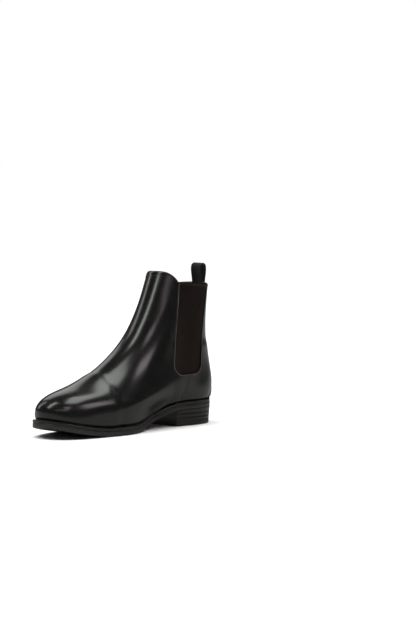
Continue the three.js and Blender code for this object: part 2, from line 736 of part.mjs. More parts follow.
function meshFor(name, solid) {
  const { vertProperties, triVerts } = solid.getMesh();
  const geometry = new THREE.BufferGeometry();
  geometry.setAttribute('position', new THREE.Float32BufferAttribute(vertProperties, 3));
  geometry.setIndex(Array.from(triVerts));
  geometry.computeVertexNormals();
  const mesh = new THREE.Mesh(geometry, new THREE.MeshStandardMaterial(finishFor(name)));
  mesh.name = name;
  return mesh;
}

const heel = makeHeel();
heel.top_lift = drillForNails(heel.top_lift);
heel.heel_lift_1 = drillForNails(heel.heel_lift_1);

const pieces = {
  outsole: plate(soleEdge, above(0), above(OUTSOLE)),
  ...makeWelt(),
  ...makeFiller(),
  ...makeInsole(),
  ...heel,
  ...makeNails(),
  ...makeUpper(),
  ...makeBackstay(),
  ...makeGores(),
  ...makeLinings(),
  ...makeStiffeners(),
  ...makeBindings(),
  ...makePullTab(),
};

const boot = new THREE.Group();
for (const [name, solid] of Object.entries(pieces)) {
  boot.add(meshFor(name, solid));
}

// The origin is on the ground under the middle of the boot's box.
const box = new THREE.Box3().setFromObject(boot);
boot.position.set(-(box.min.x + box.max.x) / 2, -(box.min.y + box.max.y) / 2, -box.min.z);

export default boot;
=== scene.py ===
"""A right-foot chelsea boot: welted sole, stacked heel, three-panel upper, elastic gores, pull tab.

Sizes are in millimetres in the last's own frame: the heel of the last at y = 0, the toe
towards -Y, the medial side towards +X, the ground at z = 0.
"""

import json
import logging
import math
from dataclasses import dataclass
from enum import Enum
from typing import Callable, Sequence

import bpy
import numpy as np
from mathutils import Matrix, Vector
from mathutils.bvhtree import BVHTree

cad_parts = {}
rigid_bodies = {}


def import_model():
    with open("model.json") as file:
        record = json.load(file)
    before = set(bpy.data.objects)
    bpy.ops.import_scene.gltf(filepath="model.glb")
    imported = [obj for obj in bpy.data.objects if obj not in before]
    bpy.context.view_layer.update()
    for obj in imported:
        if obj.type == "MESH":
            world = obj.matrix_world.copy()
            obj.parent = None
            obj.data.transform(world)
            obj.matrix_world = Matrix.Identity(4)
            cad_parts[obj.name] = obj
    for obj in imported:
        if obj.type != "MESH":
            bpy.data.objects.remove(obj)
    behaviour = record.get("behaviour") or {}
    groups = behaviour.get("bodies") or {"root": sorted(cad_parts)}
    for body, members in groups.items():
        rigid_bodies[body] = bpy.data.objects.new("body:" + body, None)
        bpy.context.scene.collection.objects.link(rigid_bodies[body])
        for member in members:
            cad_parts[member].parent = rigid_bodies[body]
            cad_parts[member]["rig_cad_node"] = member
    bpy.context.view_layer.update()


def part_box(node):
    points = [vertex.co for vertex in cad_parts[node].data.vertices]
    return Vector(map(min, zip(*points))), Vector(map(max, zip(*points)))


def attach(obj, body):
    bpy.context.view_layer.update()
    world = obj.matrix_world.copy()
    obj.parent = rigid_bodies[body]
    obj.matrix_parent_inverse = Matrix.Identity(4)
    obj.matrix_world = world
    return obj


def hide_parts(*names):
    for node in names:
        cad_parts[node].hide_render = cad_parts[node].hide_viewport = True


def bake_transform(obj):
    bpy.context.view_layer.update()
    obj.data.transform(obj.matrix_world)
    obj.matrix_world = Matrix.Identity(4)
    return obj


log = logging.getLogger("boot")

MM = 0.001
REACH = 400.0
BROAD_ANGLE = 50.0
SIDES = ((1, "medial"), (-1, "lateral"))
Profile = Callable[[np.ndarray], np.ndarray]
Points = Sequence[tuple[float, float]]


# ---- Sizes ---------------------------------------------------------------------------


@dataclass(frozen=True)
class BootSizes:
    """The boot's driving sizes in millimetres."""

    clearance: float = 0.3
    last_length: float = 278.0
    topline_height: float = 193.0
    toe_spring: float = 14.5
    lining: float = 0.9
    stiffener: float = 1.0
    leather: float = 1.4
    backstay: float = 1.0
    binding: float = 3.2
    outsole: float = 6.0
    welt: float = 3.4
    top_lift: float = 6.0
    heel_lift: float = 4.6
    heel_seat: float = 22.5
    heel_pitch: float = 3.8
    heel_length: float = 79.0
    breast_depth: float = 5.0
    heel_taper: float = 1.8
    welt_ring: float = 12.0
    fore_margin: float = 7.0
    waist_margin: float = 1.5
    heel_margin: float = 5.0
    tuck_height: float = 5.0
    tuck_depth: float = 1.5
    gore_bottom: float = 65.0
    gore_front: float = -69.0
    gore_back: float = -19.0
    gore_lean_front: float = 18.0
    gore_lean_back: float = 17.0
    gore_corner: float = 13.0
    peak_drop: float = 14.0
    peak_turn: float = 2.3
    seam_offset: float = 6.0
    seam_run: float = 26.0
    tab_width: float = 16.0
    tab_thickness: float = 1.5
    tab_loop: float = 23.0
    tab_open: float = 9.0
    tab_seat: float = 0.55
    tab_leg_outside: float = 24.0
    tab_leg_inside: float = 19.0

    @property
    def welt_floor(self) -> float:
        """Underside of the welt above the tread."""
        return self.outsole + self.clearance

    @property
    def welt_top(self) -> float:
        """Top of the welt above the tread."""
        return self.welt_floor + self.welt

    @property
    def feather(self) -> float:
        """Feather line of the last above the tread."""
        return self.welt_top + self.clearance

    @property
    def breast(self) -> float:
        """Position of the heel breast along the last."""
        return -self.heel_length


# ---- Curves --------------------------------------------------------------------------


class NaturalSpline:
    """A natural cubic spline through knots, evaluated on arrays."""

    def __init__(self, knots: Points) -> None:
        """Work out the second derivatives.

        Args:
            knots: The points that the curve passes through, in rising order.
        """
        table = np.asarray(knots, dtype=float)
        self.x, self.y = table[:, 0], table[:, 1]
        count = len(self.x)
        gaps = np.diff(self.x)
        system = np.eye(count)
        right = np.zeros(count)
        for i in range(1, count - 1):
            system[i, i - 1:i + 2] = gaps[i - 1] / 6, (gaps[i - 1] + gaps[i]) / 3, gaps[i] / 6
            right[i] = ((self.y[i + 1] - self.y[i]) / gaps[i]
                        - (self.y[i] - self.y[i - 1]) / gaps[i - 1])
        self.second = np.linalg.solve(system, right)

    def __call__(self, at: np.ndarray | float) -> np.ndarray:
        """Return the curve's values at the given places."""
        at = np.asarray(at, dtype=float)
        i = np.clip(np.searchsorted(self.x, at) - 1, 0, len(self.x) - 2)
        gap = self.x[i + 1] - self.x[i]
        a = (self.x[i + 1] - at) / gap
        b = (at - self.x[i]) / gap
        cubic = (a ** 3 - a) * self.second[i] + (b ** 3 - b) * self.second[i + 1]
        return a * self.y[i] + b * self.y[i + 1] + cubic * gap * gap / 6


def smoothstep(start: float, end: float, at: np.ndarray) -> np.ndarray:
    """Ease from 0 at start to 1 at end."""
    t = np.clip((at - start) / (end - start), 0, 1)
    return t * t * (3 - 2 * t)


# ---- The last ------------------------------------------------------------------------


class Last:
    """The foot shape that every piece of the boot is built round."""

    RISES = (0, 0.05, 0.12, 0.25, 0.42, 0.58, 0.72, 0.86, 1)
    FRONT_RUN = (0.996, 1, 0.965, 0.85, 0.701, 0.568, 0.459, 0.368, 0.3)
    FRONT_LIFT = (0, 0.068, 0.132, 0.192, 0.281, 0.4, 0.548, 0.76, 1)
    BACK_RISES = (0, 0.25, 0.45, 0.65, 0.82, 1)
    BACK_RUN = (0.012, -0.004, -0.008, 0.01, 0.023, 0.019)
    BACK_LIFT = (0, 0.075, 0.17, 0.36, 0.6, 0.91)
    WIDTH_RISES = (0, 0.12, 0.42, 0.72, 1)
    WIDTH_SHARES = (0.2, 0.4, 0.6, 0.8)
    MEDIAL = ((35.5, 39, 24, 27), (36.5, 41, 29.5, 30), (30.5, 33.5, 32.5, 29.5),
              (25.5, 29, 29.5, 26), (25.5, 31.5, 32.5, 27.5))
    LATERAL = ((36.5, 45.5, 38.5, 31.5), (37.5, 47, 41, 32.5), (31, 37.5, 36, 30.5),
               (25.5, 29, 29.5, 26), (25.5, 31.5, 32.5, 27.5))
    NOSE_RADIUS = (27, 20, 11, 18, 22)
    HEEL_RADIUS = (28, 28, 25, 20, 26)
    STEP = 0.004
    PLAN_STEP = 0.002
    RISE_LIMITS, RISE_HALVINGS = (0.3, 1.15), 32
    WAIST_START, WAIST_MIDDLE = -0.68, -0.4
    SPRING_KNOTS = ((-0.93, 0.55), (-0.82, 0.17))
    LOW_KNOT = (-0.67, -0.8)
    SEAT_KNOTS = ((-0.56, 0.03), (-0.46, 0.25), (-0.36, 0.57))

    def __init__(self, sizes: BootSizes) -> None:
        """Prepare the profile curves.

        Args:
            sizes: The boot's driving sizes.
        """
        self.sizes = sizes
        length, height = sizes.last_length, sizes.topline_height
        self.tread_curve = NaturalSpline(self._tread_knots())
        toe = float(self.tread(-length)) + sizes.feather
        heel = float(self.tread(0.0)) + sizes.feather
        self.front_y = self._curve(self.RISES, [-length * v for v in self.FRONT_RUN])
        self.front_z = self._curve(self.RISES, [toe + (height - toe) * v for v in self.FRONT_LIFT])
        self.back_y = self._curve(self.BACK_RISES, [-length * v for v in self.BACK_RUN])
        self.back_z = self._curve(
            self.BACK_RISES, [heel + (height - heel) * v for v in self.BACK_LIFT])
        self.nose = self._curve(self.WIDTH_RISES, self.NOSE_RADIUS)
        self.heel = self._curve(self.WIDTH_RISES, self.HEEL_RADIUS)
        self.medial = [self._curve(self.WIDTH_RISES, column) for column in zip(*self.MEDIAL)]
        self.lateral = [self._curve(self.WIDTH_RISES, column) for column in zip(*self.LATERAL)]
        shares = (0.0, *self.WIDTH_SHARES, 1.0)
        self.basis = [self._curve(shares, np.eye(len(shares))[k]) for k in range(len(shares))]

    @staticmethod
    def _curve(x: Sequence[float], y: Sequence[float]) -> NaturalSpline:
        """Return the spline through two matching rows of numbers."""
        return NaturalSpline(list(zip(x, y)))

    def _tread_knots(self) -> Points:
        """Return the underside of the outsole as knots along the last."""
        sizes = self.sizes
        length = sizes.last_length
        rows = [(-length - sizes.fore_margin, sizes.toe_spring)]
        rows += [(run * length, lift * sizes.toe_spring) for run, lift in self.SPRING_KNOTS]
        rows += [(self.LOW_KNOT[0] * length, self.LOW_KNOT[1])]
        rows += [(run * length, lift * sizes.heel_seat) for run, lift in self.SEAT_KNOTS]
        behind = (sizes.breast, sizes.breast / 2, sizes.heel_margin)
        return rows + [(y, self.seat(y)) for y in behind]

    def seat(self, y: float) -> float:
        """Return the height of the heel seat at a place along the last."""
        return self.sizes.heel_seat + self.sizes.heel_pitch * y / self.sizes.heel_length

    def tread(self, y: np.ndarray | float) -> np.ndarray:
        """Return the height of the outsole's underside."""
        return np.maximum(0.0, self.tread_curve(y))

    def point(self, turn: np.ndarray, rise: np.ndarray) -> np.ndarray:
        """Return points of the last.

        Args:
            turn: 0 to 1 from the front past the medial side and round.
            rise: 0 at the feather line to 1 at the topline.

        Returns:
            An array of the same shape with x, y and z as its last axis.
        """
        turn, rise = np.broadcast_arrays(np.asarray(turn, float), np.asarray(rise, float))
        angle = turn * 2 * np.pi
        share = (1 - np.cos(angle)) / 2
        front_y, back_y = self.front_y(rise), self.back_y(rise)
        front_z, back_z = self.front_z(rise), self.back_z(rise)
        run = np.hypot(back_y - front_y, back_z - front_z)
        girth = self.basis[0](share) * np.sqrt(self.nose(rise) * run / 2)
        for k, at in enumerate(self.WIDTH_SHARES):
            half = np.where(np.sin(angle) >= 0, self.medial[k](rise), self.lateral[k](rise))
            girth = girth + self.basis[k + 1](share) * half / (2 * math.sqrt(at * (1 - at)))
        girth = girth + self.basis[-1](share) * np.sqrt(self.heel(rise) * run / 2)
        y0, y1, z0, z1 = self.front_y(0), self.back_y(0), self.front_z(0), self.back_z(0)
        dip = self.tread(y0 + share * (y1 - y0)) + self.sizes.feather - (z0 + share * (z1 - z0))
        return np.stack([
            np.sin(angle) * girth,
            front_y + share * (back_y - front_y),
            front_z + share * (back_z - front_z) + dip * np.maximum(0, 1 - rise) ** 3,
        ], axis=-1)

    def normal(self, turn: np.ndarray, rise: np.ndarray) -> np.ndarray:
        """Return the last's outward directions, in the shape that point gives."""
        turn, rise = np.broadcast_arrays(np.asarray(turn, float), np.asarray(rise, float))
        around = self.point(turn + self.STEP, rise) - self.point(turn - self.STEP, rise)
        up = self.point(turn, rise + self.STEP) - self.point(turn, rise - self.STEP)
        out = np.cross(around, up)
        return out / np.linalg.norm(out, axis=-1, keepdims=True)

    def offset(self, turn: np.ndarray, rise: np.ndarray, amount: float | Profile) -> np.ndarray:
        """Return points at a distance from the last.

        Args:
            turn: Places round the last.
            rise: Places up the last.
            amount: The distance outwards, or a function of the last's points.

        Returns:
            The moved points.
        """
        points = self.point(turn, rise)
        distance = amount(points) if callable(amount) else np.full(points.shape[:-1], amount)
        return points + self.normal(turn, rise) * distance[..., None]

    def rise_at(self, turn: np.ndarray, height: Profile) -> np.ndarray:
        """Find the rise at which the last reaches a height that depends on y.

        Args:
            turn: Places round the last.
            height: The wanted z as a function of y.

        Returns:
            One rise for each turn.
        """
        low, high = (np.full(len(turn), limit) for limit in self.RISE_LIMITS)
        for _ in range(self.RISE_HALVINGS):
            middle = (low + high) / 2
            point = self.point(turn, middle)
            under = point[:, 2] < height(point[:, 1])
            low, high = np.where(under, middle, low), np.where(under, high, middle)
        return (low + high) / 2

    def plan(self, turns: np.ndarray, margin: float | Profile) -> np.ndarray:
        """Return the feather line in plan, moved outwards.

        Args:
            turns: Places round the last.
            margin: The distance outwards, or a function of the last's points.

        Returns:
            An array of x and y.
        """
        points = self.point(turns, 0.0)
        step = self.PLAN_STEP
        along = self.point(turns + step, 0.0) - self.point(turns - step, 0.0)
        out = np.stack([along[:, 1], -along[:, 0]], axis=-1)
        out /= np.linalg.norm(out, axis=-1, keepdims=True)
        amount = margin(points) if callable(margin) else np.full(len(turns), margin)
        return points[:, :2] + out * amount[:, None]

    def sole_margin(self, inset: float = 0.0) -> Profile:
        """Return the sole edge's distance from the feather line, less an inset."""
        sizes = self.sizes
        start = self.WAIST_START * sizes.last_length
        middle = self.WAIST_MIDDLE * sizes.last_length

        def margin(points: np.ndarray) -> np.ndarray:
            """Return the margin at points of the feather line."""
            x, y = points[:, 0], points[:, 1]
            lateral = (sizes.waist_margin + sizes.fore_margin) / 2
            waist = np.where(x > 0, sizes.waist_margin, lateral)
            fore = sizes.fore_margin + (waist - sizes.fore_margin) * smoothstep(start, middle, y)
            return fore + (sizes.heel_margin - fore) * smoothstep(middle, sizes.breast, y) - inset

        return margin


# ---- Cutting lines of the upper ------------------------------------------------------


class Pattern:
    """The lines that the upper is cut and sewn along, drawn in side view as y and z."""

    BACK_DROPS = (15.5, 17.0, 15.0, 14.0)
    PEAK_GAP = 1.2
    TOPLINE_REACH = 12.0
    OUTLINE_RISE = 20.0
    SEAM_OVERLAP = 8.0
    PUFF_SHARE, COUNTER_FRONT, COUNTER_TOP = -0.78, -58.0, 78.0
    SKIVE_START, SKIVE_RUN = 18.0, 14.0
    TUCK_SLACK = 0.8

    def __init__(self, last: Last) -> None:
        """Prepare the topline, the gore opening and the side seam.

        Args:
            last: The last that the upper is drawn on.
        """
        self.last = last
        self.sizes = sizes = last.sizes
        front, top = float(last.front_y(1)), sizes.topline_height
        self.peak_ends = (front, sizes.gore_front - self.PEAK_GAP)
        self.topline_middle = (sizes.gore_front + sizes.gore_back) / 2
        along = (self.peak_ends[1], self.topline_middle, sizes.gore_back, 0.0, self.TOPLINE_REACH)
        drops = (sizes.peak_drop, *self.BACK_DROPS)
        self.topline_back = NaturalSpline([(y, top - drop) for y, drop in zip(along, drops)])
        self.topline_ends = (front - self.TOPLINE_REACH, self.TOPLINE_REACH)
        gore_middle = (sizes.gore_front - sizes.gore_lean_front
                       + sizes.gore_back - sizes.gore_lean_back) / 2
        self.seam_top = (gore_middle + sizes.seam_offset, sizes.gore_bottom + self.SEAM_OVERLAP)
        self.seam_foot = (self.seam_top[0] - sizes.seam_run, 0.0)

    def topline(self, y: np.ndarray | float) -> np.ndarray:
        """Return the height of the topline, level round the front and low over the gores."""
        start, end = self.peak_ends
        share = np.clip((np.asarray(y, float) - start) / (end - start), 0, 1)
        peak = self.sizes.topline_height - self.sizes.peak_drop * share ** self.sizes.peak_turn
        return np.where(np.asarray(y) > end, self.topline_back(y), peak)

    def front_edge(self, z: np.ndarray | float, grow: float = 0.0) -> np.ndarray:
        """Return the y of the gore's front edge at a height."""
        depth = self.sizes.topline_height - self.sizes.gore_bottom
        lean = self.sizes.gore_lean_front * (self.sizes.topline_height - z) / depth
        return self.sizes.gore_front - grow - lean

    def back_edge(self, z: np.ndarray | float, grow: float = 0.0) -> np.ndarray:
        """Return the y of the gore's back edge at a height."""
        depth = self.sizes.topline_height - self.sizes.gore_bottom
        lean = self.sizes.gore_lean_back * (self.sizes.topline_height - z) / depth
        return self.sizes.gore_back + grow - lean

    def gore_outline(self, grow: float, top: float | None = None, steps: int = 14) -> list:
        """Return the gore opening, open at its top.

        Args:
            grow: How far outside the opening the line runs.
            top: The height at which the line starts and ends.
            steps: Points in each rounded corner.

        Returns:
            Points from the top of the front edge round the bottom to the top of the back edge.
        """
        top = self.sizes.topline_height + self.OUTLINE_RISE if top is None else top
        bottom, corner = self.sizes.gore_bottom - grow, self.sizes.gore_corner + grow
        front = float(self.front_edge(bottom + corner, grow))
        back = float(self.back_edge(bottom + corner, grow))
        line = [(float(self.front_edge(top, grow)), top)]
        for angle in np.linspace(0, math.pi / 2, steps):
            line.append((front + corner * (1 - math.cos(angle)),
                         bottom + corner * (1 - math.sin(angle))))
        for angle in np.linspace(math.pi / 2, math.pi, steps):
            line.append((back - corner * (1 + math.cos(angle)),
                         bottom + corner * (1 - math.sin(angle))))
        return line + [(float(self.back_edge(top, grow)), top)]

    def in_gore(self, y: np.ndarray, z: np.ndarray, shrink: float) -> np.ndarray:
        """Say which points lie inside the gore opening.

        Args:
            y: Places along the boot.
            z: Heights.
            shrink: How far inside the opening a point has to be.

        Returns:
            True for each point inside.
        """
        corner = self.sizes.gore_corner
        from_front = y - self.front_edge(z) - shrink
        from_back = self.back_edge(z) - y - shrink
        from_bottom = z - self.sizes.gore_bottom - shrink
        side = np.minimum(from_front, from_back)
        rounded = np.hypot(np.maximum(0, corner - side), np.maximum(0, corner - from_bottom))
        return (side > 0) & (from_bottom > 0) & (rounded < corner)

    def seam(self, shift: float) -> list:
        """Return the side seam from below the ground to above the topline."""
        return [(self.seam_foot[0] + shift, -REACH), (self.seam_foot[0] + shift, 0.0),
                (self.seam_top[0] + shift, self.seam_top[1]),
                (self.topline_middle + shift, self.sizes.topline_height),
                (self.topline_middle + shift, REACH)]

    def seam_y(self, z: np.ndarray | float) -> np.ndarray:
        """Return the y of the side seam at a height below the gore."""
        return self.seam_foot[0] + self.sizes.seam_run * np.asarray(z) / self.seam_top[1]

    def stiffened(self, points: np.ndarray) -> np.ndarray:
        """Return how far the toe puff and the heel counter lift the leather."""
        start, run = self.SKIVE_START, self.SKIVE_RUN
        puff = self.PUFF_SHARE * self.sizes.last_length + start
        counter, top = self.COUNTER_FRONT - start, self.COUNTER_TOP + start
        y, z = points[..., 1], points[..., 2]
        toe = smoothstep(puff + run, puff, y)
        heel = smoothstep(counter - run, counter, y) * smoothstep(top + run, top, z)
        return np.maximum(toe, heel) * (self.sizes.stiffener + self.sizes.clearance)

    def tucked(self, points: np.ndarray) -> np.ndarray:
        """Return how far the leather turns under towards the welt, from 0 to 1."""
        feather = self.last.tread(points[..., 1]) + self.sizes.feather
        return 1 - smoothstep(0.0, self.sizes.tuck_height, points[..., 2] - feather)

    def leather_inner(self, points: np.ndarray) -> np.ndarray:
        """Return the inside face of the leather as a distance from the last."""
        level = self.sizes.lining + self.sizes.clearance + self.stiffened(points)
        return level - self.TUCK_SLACK * self.sizes.clearance * self.tucked(points)

    def leather_outer(self, points: np.ndarray) -> np.ndarray:
        """Return the outside face of the leather as a distance from the last."""
        level = self.sizes.lining + self.sizes.clearance + self.stiffened(points)
        return level + self.sizes.leather - self.sizes.tuck_depth * self.tucked(points)

    def backstay_inner(self, points: np.ndarray) -> np.ndarray:
        """Return the inside face of the backstay as a distance from the last."""
        return self.leather_outer(points) + self.sizes.clearance

    def backstay_outer(self, points: np.ndarray) -> np.ndarray:
        """Return the outside face of the backstay as a distance from the last."""
        return self.backstay_inner(points) + self.sizes.backstay


# ---- Meshes --------------------------------------------------------------------------


class Carve(Enum):
    """What is kept when one mesh cuts another."""

    KEEP_INSIDE = "INTERSECT"
    TAKE_AWAY = "DIFFERENCE"


@dataclass(frozen=True)
class Placement:
    """Moves the last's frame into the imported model's frame."""

    x: float
    y: float

    @classmethod
    def from_frame(cls, sizes: BootSizes) -> "Placement":
        """Read the shift off the pull tab's middle and the front of the heel rand."""
        tab_low, tab_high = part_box("pull_tab")
        rand_low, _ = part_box("heel_rand")
        rand_front = -sizes.heel_length + sizes.clearance / 2
        return cls((tab_low[0] + tab_high[0]) / 2 / MM, rand_low[1] / MM - rand_front)

    def world(self, points: np.ndarray) -> np.ndarray:
        """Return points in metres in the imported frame."""
        return (np.asarray(points, float) + (self.x, self.y, 0.0)) * MM

    def spot(self, x: float, y: float, z: float) -> tuple[float, float, float]:
        """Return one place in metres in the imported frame."""
        return tuple(float(v) for v in self.world(np.array([x, y, z])))


def mesh_object(name: str, points: np.ndarray, faces: Sequence,
                smooth: bool = True) -> bpy.types.Object:
    """Make an object from points in metres and faces.

    Args:
        name: The object's name.
        points: Rows of x, y and z in metres.
        faces: Rows of point numbers.
        smooth: Whether the faces are shaded smooth.

    Returns:
        The new object, linked to the scene.
    """
    mesh = bpy.data.meshes.new(name)
    mesh.from_pydata(np.asarray(points).tolist(), [], [tuple(map(int, face)) for face in faces])
    mesh.update()
    if smooth:
        mesh.shade_smooth()
    piece = bpy.data.objects.new(name, mesh)
    bpy.context.scene.collection.objects.link(piece)
    return piece


def settle(piece: bpy.types.Object) -> bpy.types.Object:
    """Turn an object's modifiers into its plain mesh.

    Args:
        piece: The object to evaluate.

    Returns:
        The same object.
    """
    bpy.context.view_layer.update()
    graph = bpy.context.evaluated_depsgraph_get()
    mesh = bpy.data.meshes.new_from_object(piece.evaluated_get(graph), depsgraph=graph)
    mesh.name = piece.name
    piece.modifiers.clear()
    old = piece.data
    piece.data = mesh
    bpy.data.meshes.remove(old)
    return piece


def carve(piece: bpy.types.Object, cutter: bpy.types.Object, way: Carve) -> bpy.types.Object:
    """Cut one closed mesh with another and drop the cutter.

    Args:
        piece: The object that is cut.
        cutter: The object that cuts it.
        way: What is kept.

    Returns:
        The cut object.
    """
    modifier = piece.modifiers.new("carve", "BOOLEAN")
    modifier.operation = way.value
    modifier.object = cutter
    modifier.solver = "MANIFOLD"
    settle(piece)
    bpy.data.objects.remove(cutter)
    return piece


def copy_of(piece: bpy.types.Object, name: str) -> bpy.types.Object:
    """Return a linked copy of an object with its own mesh."""
    twin = bpy.data.objects.new(name, piece.data.copy())
    bpy.context.scene.collection.objects.link(twin)
    return twin


def sharpen(piece: bpy.types.Object, degrees: float = 35.0) -> bpy.types.Object:
    """Shade an object smooth except over edges sharper than an angle."""
    piece.data.shade_smooth()
    piece.data.set_sharp_from_angle(angle=math.radians(degrees))
    return piece


def paint_uv(piece: bpy.types.Object, values: np.ndarray) -> None:
    """Give an object a UV map from one u and v for each point."""
    mesh = piece.data
    layer = mesh.uv_layers.new(name="surface")
    loops = np.empty(len(mesh.loops), dtype=np.int32)
    mesh.loops.foreach_get("vertex_index", loops)
    layer.data.foreach_set("uv", np.asarray(values, dtype=np.float32)[loops].ravel())


def quads(number: np.ndarray) -> np.ndarray:
    """Return the cells of a grid of point numbers as faces."""
    return np.stack([number[:-1, :-1], number[1:, :-1], number[1:, 1:], number[:-1, 1:]],
                    axis=-1).reshape(-1, 4)


def face_out(piece: bpy.types.Object) -> None:
    """Turn a closed mesh's faces outwards if they point inwards."""
    mesh = piece.data
    mesh.calc_loop_triangles()
    corners = np.array([v.co for v in mesh.vertices])
    a, b, c = (corners[[t.vertices[k] for t in mesh.loop_triangles]] for k in range(3))
    if float(np.einsum("ij,ij->i", a, np.cross(b, c)).sum()) < 0:
        mesh.flip_normals()


class Bench:
    """Makes meshes out of the last's surfaces and the pattern's lines."""

    def __init__(self, last: Last, pattern: Pattern, place: Placement) -> None:
        """Keep what the meshes are made from.

        Args:
            last: The last.
            pattern: The cutting lines.
            place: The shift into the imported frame.
        """
        self.last, self.pattern, self.place = last, pattern, place
        self.sizes = last.sizes

    def skin(self, name: str, turns: np.ndarray, rises: np.ndarray,
             inner: float | Profile, outer: float | Profile) -> bpy.types.Object:
        """Make a closed skin of the last between two offsets.

        Args:
            name: The object's name.
            turns: Places round the last; a full circle closes on itself.
            rises: Places up the last.
            inner: Distance of the inside face.
            outer: Distance of the outside face.

        Returns:
            The skin.
        """
        full = abs(turns[-1] - turns[0] - 1) < 1e-9
        around = turns[:-1] if full else turns
        grid_turn, grid_rise = np.meshgrid(around, rises, indexing="ij")
        layers = [self.last.offset(grid_turn, grid_rise, far) for far in (inner, outer)]
        columns, rows = len(around), len(rises)
        points = np.concatenate([layer.reshape(-1, 3) for layer in layers])
        number = np.arange(2 * columns * rows).reshape(2, columns, rows)
        if full:
            number = np.concatenate([number, number[:, :1]], axis=1)
        faces = [quads(number[1]), quads(number[0])[:, ::-1],
                 quads(np.stack([number[0, :, 0], number[1, :, 0]], axis=1)),
                 quads(np.stack([number[1, :, -1], number[0, :, -1]], axis=1))]
        if not full:
            faces.append(quads(np.stack([number[0, 0], number[1, 0]])))
            faces.append(quads(np.stack([number[1, -1], number[0, -1]])))
        return mesh_object(name, self.place.world(points), np.concatenate(faces))

    def prism(self, outline: Points, axis: str, start: float, end: float) -> bpy.types.Object:
        """Make a cutting block from a drawn outline.

        Args:
            outline: Points in side view (y, z), back view (x, z) or plan (x, y).
            axis: The axis that the block runs along.
            start: Where it starts on that axis.
            end: Where it ends.

        Returns:
            The block.
        """
        flat = np.asarray(outline, float)
        order = {"x": (2, 0, 1), "y": (0, 2, 1), "z": (0, 1, 2)}[axis]
        count = len(flat)
        points = np.concatenate([
            np.column_stack([flat, np.full(count, at)])[:, order] for at in (start, end)])
        index = np.arange(count)
        after = np.roll(index, -1)
        walls = np.column_stack([index, after, after + count, index + count])
        faces = [*walls.tolist(), index[::-1].tolist(), (index + count).tolist()]
        block = mesh_object("cutter", self.place.world(points), faces, smooth=False)
        face_out(block)
        return block

    def side_prism(self, outline: Points) -> bpy.types.Object:
        """Return a block through the whole boot from an outline in side view."""
        return self.prism(outline, "x", -REACH, REACH)

    def half(self, side: int) -> bpy.types.Object:
        """Return a block over the medial (1) or the lateral (-1) half."""
        near = side * self.sizes.clearance / 2
        low, high = sorted((near, side * REACH))
        square = [(-REACH, -REACH), (REACH, -REACH), (REACH, REACH), (-REACH, REACH)]
        return self.prism(square, "x", low, high)

    def above_topline(self, drop: float) -> bpy.types.Object:
        """Return a block over everything above the topline, lowered by a drop."""
        start, end = self.pattern.topline_ends
        along = np.concatenate([np.linspace(start, self.pattern.peak_ends[1], 60, endpoint=False),
                                np.linspace(self.pattern.peak_ends[1], end, 60)])
        run = list(zip(along, self.pattern.topline(along) - drop))
        return self.side_prism([(-REACH, run[0][1]), *run, (REACH, run[-1][1]),
                                (REACH, REACH), (-REACH, REACH)])

    def below_feather(self) -> bpy.types.Object:
        """Return a block over everything below the feather line."""
        along = np.linspace(-300, 30, 160)
        run = list(zip(along, self.last.tread(along) + self.sizes.feather))
        return self.side_prism([(-REACH, -REACH), (REACH, -REACH), (REACH, run[-1][1]),
                                *run[::-1], (-REACH, run[0][1])])

    def seam_side(self, direction: int) -> bpy.types.Object:
        """Return a block in front of (-1) or behind (1) the side seams."""
        line = self.pattern.seam(direction * self.sizes.clearance / 2)
        far = direction * REACH
        return self.side_prism([*line, (far, REACH), (far, -REACH)])

    def gore_block(self, grow: float) -> bpy.types.Object:
        """Return a block through the gore openings, grown on every edge."""
        return self.side_prism(self.pattern.gore_outline(grow))

    def ring(self, name: str, rings: Sequence[tuple[float, Profile]], steps: int = 260,
             closed: bool = False) -> bpy.types.Object:
        """Make a solid out of plan outlines of the sole, from its underside to its top.

        Args:
            name: The object's name.
            rings: For each outline its inset from the sole edge and its height along y.
            steps: Points in each outline.
            closed: Whether the last outline joins the first, as on a strip.

        Returns:
            The solid; its u runs round the edge and its v from ring to ring.
        """
        turns = np.arange(steps) / steps
        layers = []
        for inset, height in rings:
            flat = self.last.plan(turns, self.last.sole_margin(inset))
            layers.append(np.column_stack([flat, height(flat[:, 1])]))
        count = len(layers)
        number = np.arange(count * steps).reshape(count, steps)
        number = np.concatenate([number, number[:, :1]], axis=1)
        if closed:
            number = np.concatenate([number, number[:1]])
        faces = quads(number.T).tolist()
        if not closed:
            faces += self._caps(steps, 0, True) + self._caps(steps, (count - 1) * steps, False)
        points = np.concatenate(layers)
        piece = mesh_object(name, self.place.world(points), faces)
        edge = layers[0][:, :2]
        lengths = np.linalg.norm(np.diff(edge, axis=0, append=edge[:1]), axis=1)
        u = np.concatenate([[0.0], np.cumsum(lengths)[:-1]]) * MM
        paint_uv(piece, np.column_stack([np.tile(u, count), np.repeat(np.arange(count), steps)]))
        face_out(piece)
        return piece

    def sweep(self, name: str, points: np.ndarray) -> bpy.types.Object:
        """Make a closed solid out of a row of closed sections.

        Args:
            name: The object's name.
            points: The points of each section, section by section.

        Returns:
            The solid.
        """
        count, ring = points.shape[:2]
        number = np.arange(count * ring).reshape(count, ring)
        looped = np.concatenate([number, number[:, :1]], axis=1)
        faces = quads(looped).tolist() + [number[0].tolist(), number[-1][::-1].tolist()]
        piece = mesh_object(name, self.place.world(points.reshape(-1, 3)), faces)
        face_out(piece)
        return piece

    @staticmethod
    def _caps(steps: int, first: int, down: bool) -> list:
        """Return faces that close an outline straight across the sole."""
        faces = []
        for i in range(steps // 2):
            cell = [i, i + 1, (steps - i - 1) % steps, (steps - i) % steps]
            face = [first + k for k in dict.fromkeys(cell)]
            faces.append(face[::-1] if down else face)
        return faces

